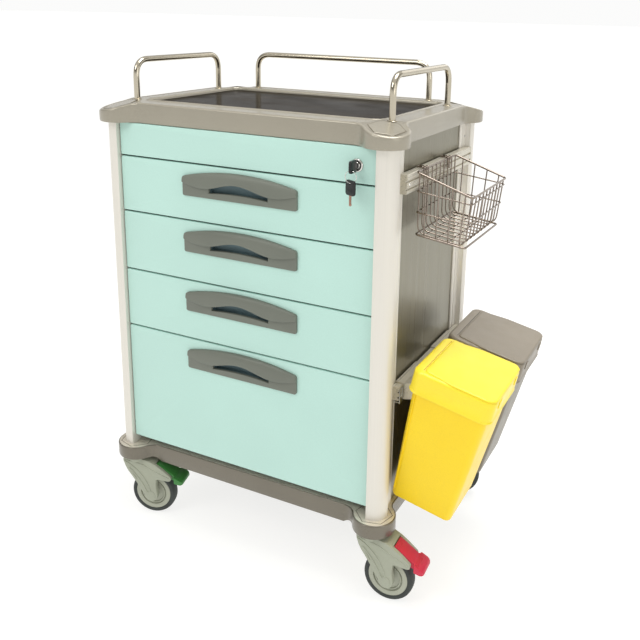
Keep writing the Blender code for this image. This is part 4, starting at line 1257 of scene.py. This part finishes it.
def bin_lid(bm):
    """A skirt with a bead round its foot, a rounded edge, and a mouth that the flap closes."""
    round_r, side, bead, mouth_corner = 0.0062, 0.0006, -0.0006, 0.020
    steps = [(LID_SKIRT, side), (LID_SKIRT - 0.0008, bead), (LID_SKIRT - 0.0030, bead)]
    steps += [(LID_SKIRT - 0.0042, 0.0004), (0.020, side)]
    for turn in [math.radians(15 * k) for k in range(7)]:
        steps.append((round_r * (1 - math.sin(turn)), side + round_r * (1 - math.cos(turn))))
    rings = [bin_ring(*step) for step in steps] + [bin_ring(0.0, 0.012, 0.018)]
    mouth = [(-0.0004, LID_MOUTH - 0.0015), (0.0006, LID_MOUTH), (BIN_WALL + 0.0016, LID_MOUTH)]
    mouth.append((BIN_WALL, LID_MOUTH - 0.003))
    rings += [bin_ring(*step, mouth_corner) for step in mouth]
    inside = [(BIN_WALL, 0.0062), (BIN_WALL + 0.004, 0.0030), (LID_SKIRT, 0.0026)]
    loft(bm, rings + [bin_ring(*step) for step in inside], closed=True)


def flap_outline():
    """The flap: narrow at its hinge, and as wide as the lid from the middle to the front."""
    back, front = 0.0205, BIN_WIDE - 0.0012
    narrow, wide = BIN_DEEP / 2 - 0.0105, BIN_DEEP / 2 - 0.0018
    tight, round_r, flare = 0.0090, 0.0190, 0.055
    lower = arc((back + tight, tight - narrow), tight, 180, 270, 6)
    for share in shares(8, 1):
        half = narrow + (wide - narrow) * smooth_step(share, 0, 1)
        lower.append((back + tight + flare * share, -half))
    lower += arc((front - round_r, round_r - wide), round_r, -90, 0, 8)
    return lower + [(x, -y) for x, y in lower[::-1]]


def bin_flap(bm):
    """A domed plate that laps over the lid on three sides and is hinged at the back."""
    outline, centre = flap_outline(), BIN_WIDE * 0.55
    base, dome, edge = 0.0024, 0.0026, 0.0014
    steps = ((0.0016, -0.0006), (0.0003, -0.0004), (0.0, 0.0004), (0.0003, 0.0014), (edge, base))
    rings = [laid(inset(outline, amount), z) for amount, z in steps]
    top = inset(outline, edge)
    for share in (0.05, 0.12, 0.25, 0.4, 0.55, 0.7, 0.85, 0.97):
        z = base + dome * math.sin(math.pi / 2 * share)
        rings.append([(centre + (x - centre) * (1 - share), y * (1 - share), z) for x, y in top])
    loft(bm, rings)


# a darker strip in the flap's hinge gap: painted shade in the gap
def bin_hinge_seam_shade(bm):
    half = BIN_DEEP / 2 - 0.0150
    box(bm, (0.0178, -half, -0.0010), (0.0188, half, 0.0006), 0.0002)


def bin_catches(bm):
    half = 0.006
    for y in (-0.052, 0.052):
        box(bm, (BIN_WIDE - 0.0010, y - half, -0.0200), (BIN_WIDE + 0.0012, y + half, -0.0060))


def make_bin(name, body_finish, lid_finish, seam_shade_finish):
    lift, hinge = JOINTS[f"{name}_lid_lift"]["axis"], joint_at(f"{name}_flap_open")
    tilt = math.atan2(lift[0], lift[2])
    origin = hinge - Vector((HINGE_X * math.cos(tilt), 0.0, -HINGE_X * math.sin(tilt)))
    at = Matrix.Translation(origin) @ Matrix.Rotation(tilt, 4, "Y")
    tub, lid, flap = f"{name}_bin", f"{name}_lid", f"{name}_flap"

    piece(f"{name}_bin_tub", tub, body_finish, bin_tub, at, [f"{name}_bin_body"], 40)
    piece(f"{name}_bin_ribs", tub, body_finish, bin_ribs, at, ())
    piece(f"{name}_bin_lid_shell", lid, lid_finish, bin_lid, at, [f"{name}_bin_lid"], 40)
    plate = f"{name}_bin_flap_plate"
    piece(plate, flap, lid_finish, bin_flap, at, [f"{name}_bin_flap"], 40)
    piece(f"{name}_bin_hinge_seam", lid, seam_shade_finish, bin_hinge_seam_shade, at, ())
    piece(f"{name}_bin_lid_catches", lid, lid_finish, bin_catches, at, ())


# ---------------------------------------------------------------- casters


HOUSING_HALF = 0.0250
RIB = [(-0.0240, 0.1288), (-0.0100, 0.1222), (0.0080, 0.1085), (0.0230, 0.0900), (0.0330, 0.0700),
       (0.0350, 0.0590), (0.0310, 0.0545), (0.0262, 0.0590), (0.0215, 0.0700), (0.0120, 0.0860),
       (0.0000, 0.1010), (-0.0120, 0.1130)]
OVAL = [(-0.0080, 0.1065), (-0.0050, 0.1085), (0.0000, 0.1010), (0.0065, 0.0900),
        (0.0045, 0.0865), (-0.0010, 0.0950)]
CREST = [(-0.0245, 0.1315), (-0.0100, 0.1290), (0.0080, 0.1262), (0.0240, 0.1230),
         (0.0400, 0.1130), (0.0800, 0.0975)]
HUB_HALF = [(0.0044, 0.0132), (0.0110, 0.0132), (0.0118, 0.0124), (0.0124, 0.0086), (0.0150, 0.0074),
            (0.0236, 0.0078), (0.0250, 0.0104), (0.0268, 0.0106), (0.0276, 0.0074), (0.0290, 0.0074),
            (0.0302, 0.0108), (0.0380, 0.0112), (0.0396, 0.0104)]
TYRE_HALF = [(0.0398, 0.0104), (0.0412, 0.0112), (0.0440, 0.0117), (0.0462, 0.0116),
             (0.0480, 0.0104), (0.0492, 0.0082), (0.0498, 0.0052)]


def caster_axes(name):
    """A caster's own axes, from the floor under its swivel, and its axle's x and z in them."""
    swivel, axle = joint_at(f"caster_{name}_swivel"), joint_at(f"wheel_{name}_spin")
    x, y = axle.x - swivel.x, axle.y - swivel.y
    at = Matrix.Translation((swivel.x, swivel.y, 0.0)) @ Matrix.Rotation(math.atan2(y, x), 4, "Z")
    return at, (math.hypot(y, x), axle.z)


def housing_outline(axle):
    """From the top round the outer side, the wheel opening and the leg, and up the back."""
    points = [(0.018, 0.1372), (0.034, 0.1335), (0.0494, 0.1262), (0.066, 0.1150), (0.0835, 0.1010)]
    points += [(0.0845, 0.0985), (0.0825, 0.0915), (0.0780, 0.0898), (0.0560, 0.0908)]
    points += arc((0.0530, 0.0865), 0.0042, 95, 185, 5)
    points += [(0.0484, 0.0720), (0.0500, 0.0600)]
    points += arc(axle, 0.0148, 0, -180, 16)
    points += [(0.0150, 0.0590), (0.0095, 0.0674), (0.0030, 0.0790), (-0.0077, 0.0945)]
    points += [(-0.0150, 0.1045), (-0.0208, 0.1150), (-0.0248, 0.1265), (-0.0258, 0.1335)]
    points.append((-0.0225, 0.1372))
    return points[::-1]


def caster_head(bm):
    rings = [(0.0245, 0.1255), (0.0258, 0.1270), (0.0275, 0.1330), (0.0275, 0.1368)]
    rings += [(0.0268, 0.1380), (0.0262, 0.1384), (0.0262, 0.1402), (0.0285, 0.1406)]
    rings.append((0.0285, LOBE_LOW - 0.0003))
    disc(bm, rings, segments=56)


def caster_ribs(bm):
    for y in (0.0001 - HOUSING_HALF, HOUSING_HALF - 0.0001):
        rib, oval, crest = ([(x, y, z) for x, z in line] for line in (RIB, OVAL, CREST))
        tube(bm, rounded_path(rib, 0.012, 5), 0.0017, 10)
        tube(bm, rounded_path(oval, 0.004, 4, closed=True), 0.0012, 8, closed=True)
        tube(bm, rounded_path(crest, 0.010, 5), 0.0014, 10)


def both_sides(half):
    """A closed wheel profile from the half on its +Y side."""
    return [(radius, -y) for radius, y in half] + half[::-1]


def make_caster(name):
    at, axle = caster_axes(name)
    body, wheel = f"caster_{name}", f"wheel_{name}"

    def housing(bm):
        prism(bm, housing_outline(axle), -HOUSING_HALF, HOUSING_HALF, along_y, 0.0012)

    def wheel_room(bm):
        radius, half = axle[1] + 0.0042, 0.0145
        disc(bm, [(radius, -half), (radius, half)], axle, along_y, 64)

    def pedal_slot(bm):
        outline = [(0.0475, 0.1005), (0.0920, 0.0770), (0.0920, 0.150), (0.0475, 0.150)]
        prism(bm, outline, -0.0180, 0.0180, along_y)

    def axle_caps(bm):
        steps = ((0.0105, -0.0005), (0.0105, 0.0005), (0.0095, 0.0010), (0.0030, 0.0012))
        for side in (-1, 1):
            profile = [(radius, side * HOUSING_HALF + side * out) for radius, out in steps]
            disc(bm, profile, axle, along_y, 40)
        disc(bm, [(0.0039, -0.0200), (0.0039, 0.0200)], axle, along_y, 24)

    def hub(bm):
        turned(bm, both_sides(HUB_HALF), axle, along_y, 72)

    def tyre(bm):
        turned(bm, both_sides([*TYRE_HALF, (axle[1], 0.0022)]), axle, along_y, 96)

    def tread(bm):
        """The rolling surface, browned by the floor."""
        radius, half = axle[1] - 0.0001, 0.0062
        profile = [(radius - 0.0020, -half), (radius - 0.0006, -half), (radius, 0.0030 - half)]
        turned(bm, profile + [(r, -y) for r, y in profile[::-1]], axle, along_y, 96)

    cutters = [wheel_room, pedal_slot] if name in ("fl", "fr") else [wheel_room]
    piece(f"{body}_housing", body, NYLON, housing, at, [f"{body}_fork"], cutters=cutters)
    piece(f"{body}_head", body, NYLON, caster_head, at, ())
    piece(f"{body}_ribs", body, NYLON, caster_ribs, at, (), 60)
    piece(f"{body}_axle", body, NYLON, axle_caps, at, ())
    piece(f"{wheel}_hub", wheel, HUB, hub, at, [f"{body}_hub"])
    piece(f"{wheel}_tyre", wheel, TYRE, tyre, at, [f"{body}_tyre"], 50)
    piece(f"{wheel}_tread", wheel, TREAD, tread, at, (), 50)


def pedal_section(x, half, top, low):
    """One section across a pedal, with rounded upper corners."""
    edge = 0.0016
    soft = edge * 0.3
    return [(x, -half, low), (x, half, low), (x, half, top - edge), (x, half - soft, top - soft),
            (x, half - edge, top), (x, -half + edge, top), (x, -half + soft, top - soft),
            (x, -half, top - edge)]


def pedal_lever(bm):
    """A narrow lever that leaves the housing, and widens into the foot plate."""
    narrow, wide = 0.0170, 0.0240
    steps = [(0.0484, narrow, 0.1235, 0.1040), (0.0492, narrow, 0.1256, 0.1030)]
    steps += [(0.0504, narrow, 0.1262, 0.1025), (0.0660, narrow, 0.1166, 0.0975)]
    steps += [(0.0880, narrow, 0.1022, 0.0900), (0.0898, narrow + 0.002, 0.1012, 0.0890)]
    steps += [(0.0906, wide - 0.001, 0.1008, 0.0872), (0.0918, wide, 0.1001, 0.0862)]
    steps += [(0.1030, wide, 0.0945, 0.0840), (0.1070, wide - 0.0012, 0.0922, 0.0840)]
    steps += [(0.1094, wide - 0.0036, 0.0900, 0.0846), (0.1104, wide - 0.0065, 0.0880, 0.0856)]
    loft(bm, [pedal_section(*step) for step in steps])


def pedal_ridges(bm):
    """Three ridges on the lever and three on the foot plate, each along its slope."""
    rows = [(x, 0.0148, 0.1262 - (x - 0.0504) * 0.615) for x in (0.0530, 0.0560, 0.0590)]
    rows += [(x, 0.0205, 0.1001 - (x - 0.0918) * 0.500) for x in (0.0930, 0.0955, 0.0980)]
    for x, half, z in rows:
        tube(bm, [(x, -half, z - 0.0001), (x, half, z - 0.0001)], 0.0006, 8)


def make_pedal(name, colour, finish):
    pedal, at = f"pedal_{colour}", caster_axes(name)[0]
    piece(f"{pedal}_lever", pedal, finish, pedal_lever, at, [pedal], 32)
    piece(f"{pedal}_ridges", pedal, finish, pedal_ridges, at, ())


# ---------------------------------------------------------------- stage


HORIZON = (0.97, 0.97, 0.965)
WALL_DARK, WALL_LIGHT = (0.05, 0.047, 0.042), (0.34, 0.33, 0.31)
CEILING = (0.80, 0.79, 0.77)


def area_light(name, place, target, size, power, colour=(1.0, 1.0, 1.0)):
    data = bpy.data.lights.new(name, "AREA")
    data.shape = "RECTANGLE"
    data.size, data.size_y = size
    data.energy = power
    data.color = colour
    made = bpy.data.objects.new(name, data)
    made.location = place
    made.rotation_euler = (Vector(target) - Vector(place)).to_track_quat("-Z", "Y").to_euler()
    bpy.context.scene.collection.objects.link(made)


def make_world():
    """A room to reflect: cloudy walls under a pale ceiling, and white down to the horizon."""
    world = bpy.data.worlds.new("studio")
    world.use_nodes = True
    tree = world.node_tree
    direction = tree.nodes.new("ShaderNodeTexCoord").outputs["Generated"]
    split = tree.nodes.new("ShaderNodeSeparateXYZ")
    tree.links.new(direction, split.inputs["Vector"])
    walls = tree.nodes.new("ShaderNodeTexNoise")
    walls.inputs["Scale"].default_value = 1.3
    walls.inputs["Detail"].default_value = 1.0
    tree.links.new(direction, walls.inputs["Vector"])
    height = split.outputs["Z"]
    cloth = add_ramp(tree, walls.outputs["Fac"], ((0.40, WALL_DARK), (0.60, WALL_LIGHT)))
    room = add_ramp(tree, height, ((0.30, grey(0.0)), (0.62, CEILING)))
    mask = add_ramp(tree, height, ((0.08, grey(0.0)), (0.30, grey(1.0))))
    above = add_mix(tree, "LIGHTEN", 1.0, cloth, room)
    seen = add_mix(tree, "MIX", mask, HORIZON, above)
    tree.links.new(seen, tree.nodes["Background"].inputs["Color"])
    bpy.context.scene.world = world


def make_floor():
    """A pale floor that glows a little, so that it meets the horizon."""
    finish = Finish("pale_floor", 0.75)
    shade = finish.noise(2.0, 3.0)
    finish.colour(finish.ramp(shade, (0.3, srgb(150, 150, 148)), (0.7, srgb(154, 154, 152))))
    finish.set("Emission Color", (1.0, 1.0, 0.99, 1.0))
    finish.set("Emission Strength", 0.78)
    half, thick = 80.0, 0.02
    square = ((-half, -half), (half, -half), (half, half), (-half, half))

    def slab(bm):
        prism(bm, square, -thick, 0.0)

    mesh = mesh_of("studio_floor", slab)
    mesh.materials.append(finish.material)
    floor = bpy.data.objects.new("studio_floor", mesh)
    bpy.context.scene.collection.objects.link(floor)


def make_lights():
    cart, low_cart = (0.0, 0.0, 0.6), (0.1, 0.0, 0.4)
    area_light("key", (-1.2, -2.5, 2.7), cart, (1.5, 1.2), 24.0, (1.0, 0.99, 0.97))
    area_light("fill", (3.2, -1.2, 1.7), low_cart, (1.4, 1.8), 13.0, (1.0, 0.97, 0.93))
    area_light("top", (0.5, 0.2, 3.4), cart, (1.6, 1.6), 68.0)
    area_light("back", (0.6, 3.0, 2.2), cart, (2.0, 1.2), 8.0)


def make_camera():
    """The photograph's viewpoint, found from the cart's straight edges."""
    scene = bpy.context.scene
    place = MIDDLE + Vector((0.8243, -1.4186, 1.1022))
    yaw, pitch, roll = math.radians(-26.22), math.radians(14.81), math.radians(1.24)
    side, focal, shift_x, shift_y = 640.0, 799.5, -30.0, -100.0  # pixels
    data = bpy.data.cameras.new("camera")
    data.sensor_width = 36.0
    data.lens = focal / side * data.sensor_width
    data.shift_x, data.shift_y = shift_x / side, shift_y / side
    data.clip_end = 100.0
    level = math.cos(pitch)
    forward = Vector((math.sin(yaw) * level, math.cos(yaw) * level, -math.sin(pitch)))
    right = Vector((math.cos(yaw), -math.sin(yaw), 0.0))
    up = right.cross(forward)
    rolled_right = right * math.cos(roll) + up * math.sin(roll)
    rolled_up = up * math.cos(roll) - right * math.sin(roll)
    turn = Matrix((rolled_right, rolled_up, -forward)).transposed()
    camera = bpy.data.objects.new("camera", data)
    camera.matrix_world = Matrix.Translation(place) @ turn.to_4x4()
    scene.collection.objects.link(camera)
    scene.camera = camera
    scene.view_settings.view_transform = "Standard"


make_camera()
make_world()
make_floor()
make_lights()

carry_over()
make_tray()
make_base()
for side in ("left", "right", "rear"):
    make_guard(side)
for corner, right, rear in CORNERS:
    make_column(corner, right, rear)
for number in (1, 2, 3, 4):
    make_drawer(number)
fronts = ["lock_fascia"] + [f"drawer_{number}_front" for number in (1, 2, 3, 4)]
for upper, lower in zip(fronts, fronts[1:]):
    make_divider_shade_strip(upper, lower)
make_lock()
make_keys()
make_rail("upper")
make_rail("lower")
make_lower_rail_details()
make_basket()
make_bin("yellow", YELLOW, YELLOW_LID, YELLOW_SEAM_SHADE)
make_bin("grey", GREY, GREY_LID, GREY_SEAM_SHADE)
for corner, right, rear in CORNERS:
    make_caster(corner)
make_pedal("fl", "green", GREEN)
make_pedal("fr", "red", RED)
